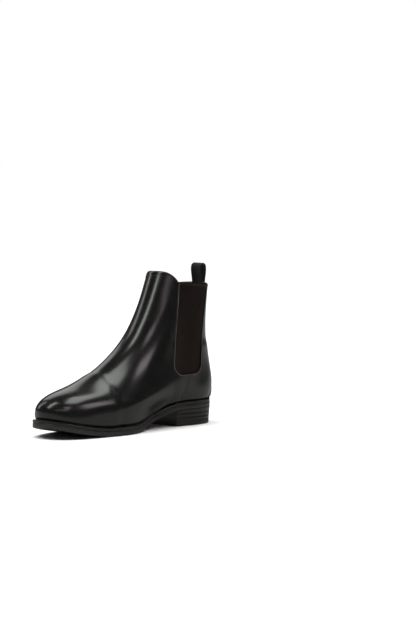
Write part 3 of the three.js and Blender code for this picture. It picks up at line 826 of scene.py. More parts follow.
    def level(self, height: float) -> Profile:
        """Return a height that is the same all along the sole."""
        return lambda y: np.full(len(y), height)

    def over_tread(self, height: float) -> Profile:
        """Return a height above the underside of the outsole."""
        return lambda y: self.last.tread(y) + height

    def plan_block(self, outline: Points) -> bpy.types.Object:
        """Return a block through the whole boot from an outline in plan."""
        return self.prism(outline, "z", -REACH, REACH)


# ---- Node trees ----------------------------------------------------------------------


class Tree:
    """A short hand for laying out a node tree."""

    def __init__(self, tree: bpy.types.NodeTree) -> None:
        """Keep the tree that nodes are added to."""
        self.tree = tree

    def add(self, kind: str, inputs: dict | None = None, **settings: object) -> bpy.types.Node:
        """Add a node.

        Args:
            kind: The node's type.
            inputs: Values or output sockets by input name or number.
            **settings: Properties of the node.

        Returns:
            The new node.
        """
        node = self.tree.nodes.new(kind)
        for name, value in settings.items():
            setattr(node, name, value)
        for name, value in (inputs or {}).items():
            if isinstance(value, bpy.types.NodeSocket):
                self.tree.links.new(value, node.inputs[name])
            else:
                node.inputs[name].default_value = value
        return node

    def math(self, operation: str, *values: object) -> bpy.types.NodeSocket:
        """Add a Math node and return its result."""
        node = self.add("ShaderNodeMath", dict(enumerate(values)), operation=operation)
        return node.outputs[0]

    def tint(self, factor: object, first: object, second: object) -> bpy.types.NodeSocket:
        """Mix two colours and return the result."""
        node = self.add("ShaderNodeMix", {0: factor, 6: first, 7: second}, data_type="RGBA")
        return node.outputs[2]

    def socket(self, name: str, kind: str, way: str = "INPUT", value: object = None) -> str:
        """Add a socket to the tree's interface and return its identifier."""
        socket = self.tree.interface.new_socket(name, in_out=way, socket_type=kind)
        if value is not None:
            socket.default_value = value
        return socket.identifier


UPPER_STITCH = {"Pitch": 0.0019, "Length": 0.0015, "Width": 0.00045, "Height": 0.0004}
TAB_STITCH = {"Pitch": 0.0019, "Length": 0.0015, "Width": 0.0005, "Height": 0.0005}
WELT_STITCH = {"Pitch": 0.0032, "Length": 0.0026, "Width": 0.0007, "Height": 0.0006, "Slant": 0.12}
CHANNEL_STITCH = {"Pitch": 0.0034, "Length": 0.0028, "Width": 0.00045, "Height": 0.0005}
WHEEL_MARK = {"Pitch": 0.0016, "Length": 0.0017, "Width": 0.0009, "Height": 0.0005,
              "Slant": math.pi / 2}


class Repeat(Enum):
    """What is set along a path."""

    STITCHES = "stitches"
    RIBS = "ribs"
    PINS = "pins"


@dataclass(frozen=True)
class Track:
    """A line on a surface with the surface's outward direction at each point."""

    points: np.ndarray
    outward: np.ndarray


class Repeater:
    """Geometry Nodes trees that lay stitches and ribs along lines and set pins at places."""

    def __init__(self, place: Placement) -> None:
        """Build the trees.

        Args:
            place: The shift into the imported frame.
        """
        self.place = place
        self.sockets: dict[Repeat, dict[str, str]] = {}
        self.trees = {Repeat.STITCHES: self._stitch_tree(), Repeat.RIBS: self._rib_tree(),
                      Repeat.PINS: self._pin_tree()}

    def _begin(self, kind: Repeat, sizes: dict[str, float]) -> tuple[Tree, bpy.types.Node]:
        """Start a tree with a path, sizes and a finish as its inputs."""
        tree = Tree(bpy.data.node_groups.new(kind.value, "GeometryNodeTree"))
        names = {"Path": tree.socket("Path", "NodeSocketGeometry")}
        for name, value in sizes.items():
            names[name] = tree.socket(name, "NodeSocketFloat", value=value)
        names["Finish"] = tree.socket("Finish", "NodeSocketMaterial")
        tree.socket("Geometry", "NodeSocketGeometry", "OUTPUT")
        self.sockets[kind] = names
        return tree, tree.add("NodeGroupInput")

    @staticmethod
    def _end(tree: Tree, geometry: bpy.types.NodeSocket,
             source: bpy.types.Node) -> bpy.types.NodeTree:
        """Finish a tree with real geometry, smooth shading and the finish."""
        real = tree.add("GeometryNodeRealizeInstances", {"Geometry": geometry})
        smooth = tree.add("GeometryNodeSetShadeSmooth", {"Geometry": real.outputs[0]})
        dressed = tree.add("GeometryNodeSetMaterial", {
            "Geometry": smooth.outputs[0], "Material": source.outputs["Finish"]})
        tree.add("NodeGroupOutput", {0: dressed.outputs[0]})
        return tree.tree

    @staticmethod
    def _outward(tree: Tree) -> bpy.types.NodeSocket:
        """Read the outward direction kept on the path."""
        node = tree.add("GeometryNodeInputNamedAttribute", data_type="FLOAT_VECTOR")
        node.inputs["Name"].default_value = "outward"
        return node.outputs["Attribute"]

    def _stitch_tree(self) -> bpy.types.NodeTree:
        """Build the tree that lays a stitch at every pitch along a path."""
        tree, source = self._begin(Repeat.STITCHES, {
            "Pitch": 0.002, "Length": 0.0016, "Width": 0.0005, "Height": 0.0004, "Slant": 0.0})
        line = tree.add("GeometryNodeMeshToCurve", {"Mesh": source.outputs["Path"]})
        spaced = tree.add("GeometryNodeResampleCurve", {
            "Curve": line.outputs[0], "Length": source.outputs["Pitch"]}, mode="LENGTH")
        along = tree.add("GeometryNodeInputTangent")
        first = tree.add("FunctionNodeAlignRotationToVector", {
            "Vector": along.outputs[0]}, axis="X")
        turned = tree.add("FunctionNodeAlignRotationToVector", {
            "Rotation": first.outputs[0], "Vector": self._outward(tree)}, axis="Z", pivot_axis="X")
        bead = tree.add("GeometryNodeMeshUVSphere", {"Segments": 6, "Rings": 5, "Radius": 1.0})
        half = [tree.math("MULTIPLY", source.outputs[name], 0.5)
                for name in ("Length", "Width", "Height")]
        size = tree.add("ShaderNodeCombineXYZ", dict(enumerate(half)))
        slant = tree.add("ShaderNodeCombineXYZ", {2: source.outputs["Slant"]})
        shaped = tree.add("GeometryNodeTransform", {
            "Geometry": bead.outputs[0], "Scale": size.outputs[0]})
        tilted = tree.add("GeometryNodeTransform", {
            "Geometry": shaped.outputs[0], "Rotation": slant.outputs[0]})
        placed = tree.add("GeometryNodeInstanceOnPoints", {
            "Points": spaced.outputs[0], "Instance": tilted.outputs[0],
            "Rotation": turned.outputs[0]})
        return self._end(tree, placed.outputs[0], source)

    def _rib_tree(self) -> bpy.types.NodeTree:
        """Build the tree that runs a round rib along each path."""
        tree, source = self._begin(Repeat.RIBS, {"Radius": 0.0005})
        line = tree.add("GeometryNodeMeshToCurve", {"Mesh": source.outputs["Path"]})
        section = tree.add("GeometryNodeCurvePrimitiveCircle", {
            "Resolution": 6, "Radius": source.outputs["Radius"]})
        rib = tree.add("GeometryNodeCurveToMesh", {
            "Curve": line.outputs[0], "Profile Curve": section.outputs[0], "Fill Caps": True})
        return self._end(tree, rib.outputs[0], source)

    def _pin_tree(self) -> bpy.types.NodeTree:
        """Build the tree that stands a pin on each point of the path."""
        tree, source = self._begin(Repeat.PINS, {"Radius": 0.0008, "Length": 0.009})
        rod = tree.add("GeometryNodeMeshCylinder", {
            "Vertices": 20, "Radius": source.outputs["Radius"], "Depth": source.outputs["Length"]})
        placed = tree.add("GeometryNodeInstanceOnPoints", {
            "Points": source.outputs["Path"], "Instance": rod.outputs[0]})
        return self._end(tree, placed.outputs[0], source)

    def run(self, name: str, kind: Repeat, tracks: Sequence[Track], finish: bpy.types.Material,
            **sizes: float) -> bpy.types.Object:
        """Lay a repeated piece along tracks.

        Args:
            name: The new object's name.
            kind: What is laid.
            tracks: The lines, in millimetres.
            finish: The material.
            **sizes: The tree's sizes by name, in metres or radians.

        Returns:
            A plain mesh object.
        """
        points = np.concatenate([track.points for track in tracks])
        mesh = bpy.data.meshes.new(name)
        edges, start = [], 0
        for track in tracks:
            count = len(track.points)
            edges += [(start + i, start + i + 1) for i in range(count - 1)]
            start += count
        edges = [] if kind is Repeat.PINS else edges
        mesh.from_pydata(self.place.world(points).tolist(), edges, [])
        outward = mesh.attributes.new("outward", "FLOAT_VECTOR", "POINT")
        outward.data.foreach_set("vector", np.concatenate(
            [track.outward for track in tracks]).astype(np.float32).ravel())
        piece = bpy.data.objects.new(name, mesh)
        bpy.context.scene.collection.objects.link(piece)
        modifier = piece.modifiers.new(kind.value, "NODES")
        modifier.node_group = self.trees[kind]
        for socket, value in {**sizes, "Finish": finish}.items():
            modifier[self.sockets[kind][socket]] = value
        return settle(piece)


# ---- Finishes ------------------------------------------------------------------------


class Finish(Enum):
    """The boot's material slots."""

    CALF = "calf_leather"
    SOLE = "sole_leather"
    EDGE = "sole_edge"
    RUBBER = "heel_rubber"
    ELASTIC = "gore_elastic"
    WEBBING = "tab_webbing"
    LINING = "lining_leather"
    CORK = "cork"
    INSOLE = "insole_leather"
    STEEL = "shank_steel"
    BRASS = "nail_brass"
    BOARD = "stiffener_board"


@dataclass(frozen=True)
class Look:
    """What a material is made of: two tones, sheen and the surface's relief.

    Scales are in cells per metre, depths in metres.
    """

    dark: tuple[float, float, float]
    light: tuple[float, float, float]
    roughness: tuple[float, float]
    grain_scale: float
    grain_depth: float
    cloud_scale: float = 25.0
    swell_depth: float = 0.0
    swell_scale: float = 22.0
    stretch: tuple[float, float, float] = (1.0, 1.0, 1.0)
    coat: float = 0.0
    coat_roughness: float = 0.1
    metallic: float = 0.0
    specular: float = 0.5
    sheen: float = 0.0
    scuffs: float = 0.0


LOOKS = {
    Finish.CALF: Look((0.0022, 0.0021, 0.0022), (0.0048, 0.0044, 0.0044), (0.21, 0.26), 1500,
                      0.000002, swell_depth=0.0004, coat=0.6, coat_roughness=0.17,
                      specular=0.4, scuffs=0.01),
    Finish.SOLE: Look((0.008, 0.0072, 0.0075), (0.022, 0.019, 0.019), (0.32, 0.5), 900, 0.00003,
                      stretch=(1.0, 0.16, 1.0), swell_depth=0.0003, coat=0.2, coat_roughness=0.22,
                      scuffs=0.4),
    Finish.EDGE: Look((0.0035, 0.0033, 0.0034), (0.009, 0.008, 0.0078), (0.24, 0.38), 1300, 0.00003,
                      stretch=(1.0, 1.0, 3.0), coat=0.3, coat_roughness=0.16, scuffs=0.1),
    Finish.RUBBER: Look((0.014, 0.014, 0.0155), (0.027, 0.027, 0.029), (0.6, 0.8), 1400, 0.00005,
                        scuffs=0.3),
    Finish.ELASTIC: Look((0.0056, 0.0026, 0.0014), (0.0145, 0.0072, 0.0041), (0.8, 0.95), 1800,
                         0.0001, stretch=(1.0, 1.0, 0.35), specular=0.2, sheen=0.04),
    Finish.WEBBING: Look((0.005, 0.005, 0.0055), (0.014, 0.014, 0.015), (0.7, 0.9), 1600, 0.0001,
                         specular=0.3, sheen=0.08),
    Finish.LINING: Look((0.05, 0.04, 0.031), (0.1, 0.082, 0.064), (0.55, 0.75), 1100, 0.00005,
                        swell_depth=0.0003),
    Finish.CORK: Look((0.14, 0.075, 0.035), (0.42, 0.28, 0.16), (0.8, 0.95), 600, 0.0002),
    Finish.INSOLE: Look((0.21, 0.13, 0.075), (0.36, 0.25, 0.16), (0.5, 0.7), 900, 0.00005,
                        scuffs=0.2),
    Finish.STEEL: Look((0.3, 0.31, 0.33), (0.55, 0.56, 0.58), (0.25, 0.45), 900, 0.00001,
                       stretch=(6.0, 0.3, 1.0), metallic=1.0, scuffs=0.3),
    Finish.BRASS: Look((0.35, 0.23, 0.1), (0.62, 0.44, 0.21), (0.3, 0.5), 2500, 0.00002,
                       metallic=1.0, scuffs=0.4),
    Finish.BOARD: Look((0.25, 0.2, 0.14), (0.42, 0.36, 0.28), (0.8, 0.95), 1400, 0.0001),
}


THREAD_LOOK = Look((0.008, 0.0075, 0.007), (0.04, 0.036, 0.032), (0.4, 0.6), 3500, 0.00005,
                   sheen=0.1)
# Pale grey for the gore edge beads: a painted highlight on the folded leather edge.
PAINTED_EDGE_HIGHLIGHT_LOOK = Look((0.045, 0.04, 0.036), (0.11, 0.1, 0.09), (0.4, 0.6), 2000, 0.00002)
CHANNEL_THREAD_LOOK = Look((0.03, 0.022, 0.015), (0.16, 0.11, 0.07), (0.5, 0.7), 3500, 0.00005)


class Dyes:
    """Makes one material for each slot out of shared groups of surface effects."""

    RUBBED_TONE, RUBBED_ROUGHNESS = 2.2, 0.3

    def __init__(self) -> None:
        """Build the shared groups and the materials."""
        self.clouds = self._cloud_group()
        self.grain = self._grain_group()
        self.scuffs = self._scuff_group()
        self.made = {finish: self._material(finish.value, look) for finish, look in LOOKS.items()}
        self.thread = self._material("waxed_thread", THREAD_LOOK)
        # The pale bead material paints a highlight along the gore edges.
        self.edge_paint = self._material("edge_paint", PAINTED_EDGE_HIGHLIGHT_LOOK)
        self.channel_thread = self._material("channel_thread", CHANNEL_THREAD_LOOK)

    def __getitem__(self, finish: Finish) -> bpy.types.Material:
        """Return the material of a slot."""
        return self.made[finish]

    @staticmethod
    def _group(name: str, inputs: dict[str, tuple[str, object]],
               outputs: dict[str, str]) -> tuple[Tree, bpy.types.Node]:
        """Start a shader group with named sockets."""
        tree = Tree(bpy.data.node_groups.new(name, "ShaderNodeTree"))
        for label, (kind, value) in inputs.items():
            tree.socket(label, kind, value=value)
        for label, kind in outputs.items():
            tree.socket(label, kind, "OUTPUT")
        return tree, tree.add("NodeGroupInput")

    def _cloud_group(self) -> bpy.types.NodeTree:
        """Build the group that varies tone and sheen in soft clouds."""
        tree, source = self._group("clouds", {
            "Position": ("NodeSocketVector", None), "Scale": ("NodeSocketFloat", 25.0)},
            {"Tone": "NodeSocketFloat", "Sheen": "NodeSocketFloat"})
        broad = tree.add("ShaderNodeTexNoise", {
            "Vector": source.outputs["Position"], "Scale": source.outputs["Scale"],
            "Detail": 4.0, "Roughness": 0.6})
        fine_scale = tree.math("MULTIPLY", source.outputs["Scale"], 9.0)
        fine = tree.add("ShaderNodeTexNoise", {
            "Vector": source.outputs["Position"], "Scale": fine_scale, "Detail": 3.0})
        tone = tree.add("ShaderNodeMapRange", {
            "Value": broad.outputs["Fac"], "From Min": 0.35, "From Max": 0.68})
        sheen = tree.math("MULTIPLY_ADD", fine.outputs["Fac"], 0.45, tree.math(
            "MULTIPLY", broad.outputs["Fac"], 0.55))
        tree.add("NodeGroupOutput", {"Tone": tone.outputs[0], "Sheen": sheen})
        return tree.tree

    def _grain_group(self) -> bpy.types.NodeTree:
        """Build the group that gives pores over a gentle swell."""
        tree, source = self._group("grain", {
            "Position": ("NodeSocketVector", None), "Pores": ("NodeSocketFloat", 1500.0),
            "Pore Depth": ("NodeSocketFloat", 0.00002), "Swell": ("NodeSocketFloat", 22.0),
            "Swell Depth": ("NodeSocketFloat", 0.0005)},
            {"Height": "NodeSocketFloat", "Pore Mask": "NodeSocketFloat"})
        cells = tree.add("ShaderNodeTexVoronoi", {
            "Vector": source.outputs["Position"], "Scale": source.outputs["Pores"]},
            feature="SMOOTH_F1")
        speckle = tree.add("ShaderNodeTexNoise", {
            "Vector": source.outputs["Position"], "Scale": source.outputs["Pores"], "Detail": 3.0})
        swell = tree.add("ShaderNodeTexNoise", {
            "Vector": source.outputs["Position"], "Scale": source.outputs["Swell"], "Detail": 1.5,
            "Roughness": 0.4})
        pores = tree.math("MULTIPLY_ADD", speckle.outputs["Fac"], 0.6, cells.outputs["Distance"])
        low = tree.math("MULTIPLY", pores, source.outputs["Pore Depth"])
        height = tree.math("MULTIPLY_ADD", swell.outputs["Fac"], source.outputs["Swell Depth"], low)
        tree.add("NodeGroupOutput", {"Height": height, "Pore Mask": pores})
        return tree.tree

    def _scuff_group(self) -> bpy.types.NodeTree:
        """Build the group that scatters fine rubbed marks."""
        tree, source = self._group("scuffs", {
            "Position": ("NodeSocketVector", None), "Amount": ("NodeSocketFloat", 0.3)},
            {"Mask": "NodeSocketFloat"})
        stretched = tree.add("ShaderNodeMapping", {
            "Vector": source.outputs["Position"], "Rotation": (0.3, 0.2, 0.5),
            "Scale": (1.0, 0.12, 1.0)})
        marks = tree.add("ShaderNodeTexNoise", {
            "Vector": stretched.outputs[0], "Scale": 420.0, "Detail": 6.0, "Roughness": 0.7})
        patches = tree.add("ShaderNodeTexNoise", {
            "Vector": source.outputs["Position"], "Scale": 38.0, "Detail": 2.0})
        sharp = tree.add("ShaderNodeMapRange", {
            "Value": marks.outputs["Fac"], "From Min": 0.58, "From Max": 0.75})
        zones = tree.add("ShaderNodeMapRange", {
            "Value": patches.outputs["Fac"], "From Min": 0.45, "From Max": 0.7})
        mask = tree.math("MULTIPLY", tree.math("MULTIPLY", sharp.outputs[0], zones.outputs[0]),
                         source.outputs["Amount"])
        tree.add("NodeGroupOutput", {"Mask": mask})
        return tree.tree

    def _material(self, name: str, look: Look) -> bpy.types.Material:
        """Build one material.

        Args:
            name: The material's name.
            look: Its tones, sheen and relief.

        Returns:
            The material.
        """
        material = bpy.data.materials.new(name)
        material.use_nodes = True
        material.node_tree.nodes.clear()
        tree = Tree(material.node_tree)
        position = tree.add("ShaderNodeTexCoord").outputs["Object"]
        mapping = tree.add("ShaderNodeMapping", {"Vector": position, "Scale": look.stretch})
        drawn = mapping.outputs[0]
        clouds = tree.add("ShaderNodeGroup", node_tree=self.clouds)
        grain = tree.add("ShaderNodeGroup", node_tree=self.grain)
        scuffs = tree.add("ShaderNodeGroup", node_tree=self.scuffs)
        for node, source in ((clouds, drawn), (grain, drawn), (scuffs, position)):
            tree.tree.links.new(source, node.inputs["Position"])
        clouds.inputs["Scale"].default_value = look.cloud_scale
        grain.inputs["Pores"].default_value = look.grain_scale
        grain.inputs["Pore Depth"].default_value = look.grain_depth
        grain.inputs["Swell"].default_value = look.swell_scale
        grain.inputs["Swell Depth"].default_value = look.swell_depth
        scuffs.inputs["Amount"].default_value = look.scuffs
        tone = tree.tint(clouds.outputs["Tone"], (*look.dark, 1.0), (*look.light, 1.0))
        rubbed = tuple(min(1.0, self.RUBBED_TONE * channel) for channel in look.light)
        worn = tree.tint(scuffs.outputs["Mask"], tone, (*rubbed, 1.0))
        low, high = look.roughness
        rough = tree.add("ShaderNodeMapRange", {
            "Value": clouds.outputs["Sheen"], "From Min": 0.35, "From Max": 0.65,
            "To Min": low, "To Max": high})
        roughness = tree.math("MULTIPLY_ADD", scuffs.outputs["Mask"], self.RUBBED_ROUGHNESS,
                              rough.outputs[0])
        bump = tree.add("ShaderNodeBump", {
            "Height": grain.outputs["Height"], "Distance": 1.0, "Strength": 1.0})
        shader = tree.add("ShaderNodeBsdfPrincipled", {
            "Base Color": worn, "Roughness": roughness,
            "Normal": bump.outputs["Normal"], "Metallic": look.metallic,
            "Coat Weight": look.coat, "Coat Roughness": look.coat_roughness,
            "Specular IOR Level": look.specular, "Sheen Weight": look.sheen})
        tree.add("ShaderNodeOutputMaterial", {"Surface": shader.outputs[0]})
        return material


# ---- Fitting pieces to the frame -----------------------------------------------------


@dataclass(frozen=True)
class Fold:
    """Where a piece turns from following one body to following another."""

    before: str
    after: str
    start: tuple[float, float, float]
    end: tuple[float, float, float]


class Fitter:
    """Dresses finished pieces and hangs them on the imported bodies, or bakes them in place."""

    SHAFT_STILL, SHAFT_MOVED = 80.0, 132.0
    GORE_TOP = 1.0
    LOOP_STILL, LOOP_MOVED = 0.178, 0.185

    def __init__(self, dyes: Dyes, bench: Bench) -> None:
        """Keep the materials and work out the folds.

        Args:
            dyes: The materials.
            bench: The mesh maker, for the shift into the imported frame.
        """
        self.dyes = dyes
        spot, pattern = bench.place.spot, bench.pattern
        low, high = self.SHAFT_STILL, self.SHAFT_MOVED
        self.shaft = Fold("boot", "back_collar", spot(0.0, 0.0, low), spot(0.0, 0.0, high))
        top = float(pattern.topline(bench.sizes.gore_front)) + self.GORE_TOP
        still = np.array([float(pattern.back_edge(low)), low])
        moved = np.array([float(pattern.back_edge(high)), high])
        line = still - (float(pattern.front_edge(top)), top)
        across = np.array([-line[1], line[0]]) / np.linalg.norm(line)
        turned = still + across * ((moved - still) @ across)
        self.gore = Fold("boot", "back_collar", spot(0.0, *still), spot(0.0, *turned))
        self.loop = Fold("back_collar", "tab", (0.0, 0.0, self.LOOP_STILL),
                         (0.0, 0.0, self.LOOP_MOVED))

    def dress(self, piece: bpy.types.Object, finish: Finish,
              material: bpy.types.Material | None = None) -> None:
        """Give a piece its only material."""
        piece.data.materials.clear()
        piece.data.materials.append(material or self.dyes[finish])
        piece.data.polygons.foreach_set("material_index", [0] * len(piece.data.polygons))

    def fit(self, piece: bpy.types.Object, finish: Finish, body: str | Fold, *nodes: str,
            material: bpy.types.Material | None = None) -> bpy.types.Object:
        """Dress a piece, hang it on a body or, given a fold, bake it where it stands, and log it.

        Args:
            piece: The finished piece.
            finish: Its slot.
            body: The body it rides on, or a fold, for which the piece is baked in place and not
                bent.
            *nodes: The CAD nodes that it stands for.
            material: Another material than the slot's own.

        Returns:
            The piece.
        """
        self.dress(piece, finish, material)
        if isinstance(body, Fold):
            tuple(body.start)
            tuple(body.end)
            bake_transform(piece)
        else:
            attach(piece, body)
        if nodes:
            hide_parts(*nodes)
        log.info("%s: %d faces, %s", piece.name, len(piece.data.polygons), finish.value)
        return piece


class Surface:
    """A skin's outside face, on which lines are drawn by looking at it from one side."""

    AWAY = 200.0

    def __init__(self, last: Last, offset: float | Profile) -> None:
        """Build the face.

        Args:
            last: The last.
            offset: The face's distance from the last.
        """
        turns, rises = np.linspace(0, 1, 361), np.linspace(-0.02, 1.05, 170)
        grid_turn, grid_rise = np.meshgrid(turns, rises, indexing="ij")
        points = last.offset(grid_turn, grid_rise, offset)
        number = np.arange(points.shape[0] * points.shape[1]).reshape(points.shape[:2])
        self.tree = BVHTree.FromPolygons(points.reshape(-1, 3).tolist(), quads(number).tolist())

    def _cast(self, starts: Sequence[Vector], way: Vector) -> Track:
        """Return where rays meet the face."""
        points, outward = [], []
        for start in starts:
            place, normal, _, _ = self.tree.ray_cast(start, way)
            if place is not None:
                points.append(tuple(place))
                outward.append(tuple(normal if normal.dot(way) < 0 else -normal))
        return Track(np.array(points), np.array(outward))

    def from_side(self, line: Points, side: int) -> Track:
        """Draw a line given as y and z on the medial (1) or lateral (-1) side."""
        return self._cast([Vector((side * self.AWAY, y, z)) for y, z in densify(line)],
                          Vector((-side, 0, 0)))

    def from_back(self, line: Points) -> Track:
        """Draw a line given as x and z on the back of the boot."""
        return self._cast([Vector((x, self.AWAY, z)) for x, z in densify(line)],
                          Vector((0, -1, 0)))


def densify(line: Points, step: float = 1.0) -> list:
    """Return a line with a point at least every step millimetres."""
    dense = []
    for start, end in zip(line[:-1], line[1:]):
        count = max(1, int(math.dist(start, end) / step))
        way = np.array(end) - start
        dense += [tuple(np.array(start) + way * k / count) for k in range(count)]
    return dense + [tuple(line[-1])]


# ---- Upper ---------------------------------------------------------------------------


@dataclass
class Upper:
    """The leather upper with its linings, gores, topline binding and stitching."""

    BACKSTAY_SHAPE = ((34, 27), (42, 20), (54, 13), (72, 10), (92, 9.5))
    EDGE_SECTION = ((0.0, -0.15), (0.0, 2.75), (0.3, 2.85), (0.65, 2.8), (0.86, 2.5),
                    (0.97, 1.95), (1.0, 1.35), (0.97, 0.75), (0.86, 0.15), (0.65, -0.15))
    GORE_TURNS = {1: (0.1, 0.42), -1: (0.58, 0.9)}
    HEM_SECTION = ((-0.2, 0.85), (-0.2, 2.2), (0.4, 2.25), (0.7, 2.1), (0.85, 1.6), (0.7, 1.0),
                   (0.4, 0.85))

    bench: Bench
    fitter: Fitter
    repeater: Repeater
    edge_lap: float = 1.2
    stitch_inset: float = 2.0
    seam_rows: tuple[float, float] = (1.7, 3.3)
    rib_spacing: float = 1.25
    rib_radius: float = 0.56
    rib_sink: float = 0.55
    rib_step: float = 1.6
    gore_faces: tuple[float, float] = (0.95, 1.15)
    gore_underlap: float = 4.0
    gore_rises: tuple[float, float] = (0.2, 1.03)
    gore_drop: float = 0.6
    hem_drop: float = 2.4
    hem_gap: float = 0.002
    backstay_turns: tuple[float, float] = (0.36, 0.64)
    backstay_inset: float = 1.6
    gore_row_drop: float = 20.0
    seam_row_ends: tuple[float, float] = (4.0, 26.0)
    backstay_row_ends: tuple[float, float] = (33.0, 21.0)
    topline_row_drop: float = 1.3
    row_gap: float = 0.006
    seam_gap: float = 1.5
    bead_radius: float = 0.00042
    bead_inset: float = 0.25
    bead_drop: float = 10.0
    bead_gap: float = 0.3
    around: int = 320
    up: int = 120

    def __post_init__(self) -> None:
        """Prepare the surfaces that lines are drawn on."""
        self.last, self.pattern = self.bench.last, self.bench.pattern
        self.sizes = self.bench.sizes
        self.turns = np.linspace(0, 1, self.around + 1)
        self.rises = np.concatenate([np.linspace(-0.03, 0.05, 22, endpoint=False),
                                     np.linspace(0.05, 0.3, self.up // 3, endpoint=False),
                                     np.linspace(0.3, 1.04, self.up // 2)])
        self.leather_face = Surface(self.last, self.pattern.leather_outer)
        self.drop = self.sizes.binding + self.sizes.clearance

    def build(self) -> None:
        """Make every piece of the upper."""
        self.panels()
        self.linings()
        self.backstay()
        self.bindings()
        for side, name in SIDES:
            self.gore(side, name)
        self.stitching()

    def _cut_skin(self, name: str, inner: float | Profile,
                  outer: float | Profile) -> bpy.types.Object:
        """Make a full skin cut at the feather line, the topline and the gores."""
        bench = self.bench
        piece = bench.skin(name, self.turns, self.rises, inner, outer)
        carve(piece, bench.below_feather(), Carve.TAKE_AWAY)
        carve(piece, bench.above_topline(self.drop), Carve.TAKE_AWAY)
        return carve(piece, bench.gore_block(self.sizes.clearance), Carve.TAKE_AWAY)

    def panels(self) -> None:
        """Make the one-piece front and the two quarters."""
        bench = self.bench
        leather = self._cut_skin("vamp_leather", self.pattern.leather_inner,
                                 self.pattern.leather_outer)
        back = carve(copy_of(leather, "back"), bench.seam_side(1), Carve.KEEP_INSIDE)
        carve(leather, bench.seam_side(-1), Carve.KEEP_INSIDE)
        self.fitter.fit(sharpen(leather), Finish.CALF, "boot", "vamp")
        for side, name in SIDES:
            quarter = carve(copy_of(back, f"quarter_leather_{name}"), bench.half(side),
                            Carve.KEEP_INSIDE)
            self.fitter.fit(sharpen(quarter), Finish.CALF, self.fitter.shaft, f"quarter_{name}")
        bpy.data.objects.remove(back)

    def linings(self) -> None:
        """Make the front and back linings."""
        bench = self.bench
        lining = self._cut_skin("vamp_lining_leather", 0.0, self.sizes.lining)
        back = carve(copy_of(lining, "quarter_lining_leather"), bench.seam_side(1),
                     Carve.KEEP_INSIDE)
        carve(lining, bench.seam_side(-1), Carve.KEEP_INSIDE)
        self.fitter.fit(sharpen(lining), Finish.LINING, "boot", "vamp_lining")
        self.fitter.fit(sharpen(back), Finish.LINING, self.fitter.shaft, "quarter_lining")

    def _backstay_half(self, z: np.ndarray) -> np.ndarray:
        """Return the backstay's half width at heights."""
        (foot, wide), (top, narrow) = self.BACKSTAY_SHAPE[0], self.BACKSTAY_SHAPE[-1]
        between = NaturalSpline(self.BACKSTAY_SHAPE)(np.clip(z, foot, top))
        return np.where(z < foot, wide, np.where(z > top, narrow, between))

    def backstay(self) -> None:
        """Make the strip over the back seam."""
        bench, (first, last) = self.bench, self.backstay_turns
        turns = self.turns[(self.turns > first) & (self.turns < last)]
        strip = bench.skin("backstay_leather", turns, self.rises, self.pattern.backstay_inner,
                           self.pattern.backstay_outer)
        heights = np.concatenate([[0.0], np.linspace(30, 100, 60), [REACH]])
        half = self._backstay_half(heights)
        outline = [*zip(half, heights), *zip(-half[::-1], heights[::-1])]
        carve(strip, bench.prism(outline, "y", -60, 30), Carve.KEEP_INSIDE)
        carve(strip, bench.below_feather(), Carve.TAKE_AWAY)
        carve(strip, bench.above_topline(self.drop), Carve.TAKE_AWAY)
        self.fitter.fit(sharpen(strip), Finish.CALF, self.fitter.shaft, "backstay")

    def _turn_at(self, y: float) -> float:
        """Return the turn at which the topline reaches a place along the boot."""
        turns = np.linspace(0.001, 0.499, 800)
        rises = self.last.rise_at(turns, self.pattern.topline)
        along = self.last.point(turns, rises)[:, 1]
        return float(np.interp(y, along, turns))

    def _rolled_edge(self, name: str, turns: np.ndarray, section: Points,
                     lap: float = 0.0) -> bpy.types.Object:
        """Sweep a section along the topline.

        Args:
            name: The object's name.
            turns: Where the edge runs.
            section: Points as the share of the binding's height and the distance from the last.
            lap: How far the edge reaches down over the leather below it.

        Returns:
            The closed edge.
        """
        low = self.last.rise_at(turns, lambda y: self.pattern.topline(y) - self.sizes.binding - lap)
        high = self.last.rise_at(turns, self.pattern.topline)
        rows = [self.last.offset(turns, low + (high - low) * share, far) for share, far in section]
        return sharpen(self.bench.sweep(name, np.stack(rows, axis=1)), BROAD_ANGLE)

    def bindings(self) -> None:
        """Make the folded topline edges."""
        sizes, pattern = self.sizes, self.pattern
        front_top, back_top = pattern.topline(sizes.gore_front), pattern.topline(sizes.gore_back)
        front = self._turn_at(float(pattern.front_edge(front_top)) - sizes.clearance)
        back = self._turn_at(float(pattern.back_edge(back_top)) + sizes.clearance)
        self.gore_turns = (front, back)
        edge = self._rolled_edge("topline_edge_front", np.linspace(-front, front, 90),
                                 self.EDGE_SECTION, self.edge_lap)
        self.fitter.fit(edge, Finish.CALF, "boot", "topline_binding_front")
        edge = self._rolled_edge("topline_edge_back", np.linspace(back, 1 - back, 90),
                                 self.EDGE_SECTION, self.edge_lap)
        self.fitter.fit(edge, Finish.CALF, "back_collar", "topline_binding_back")

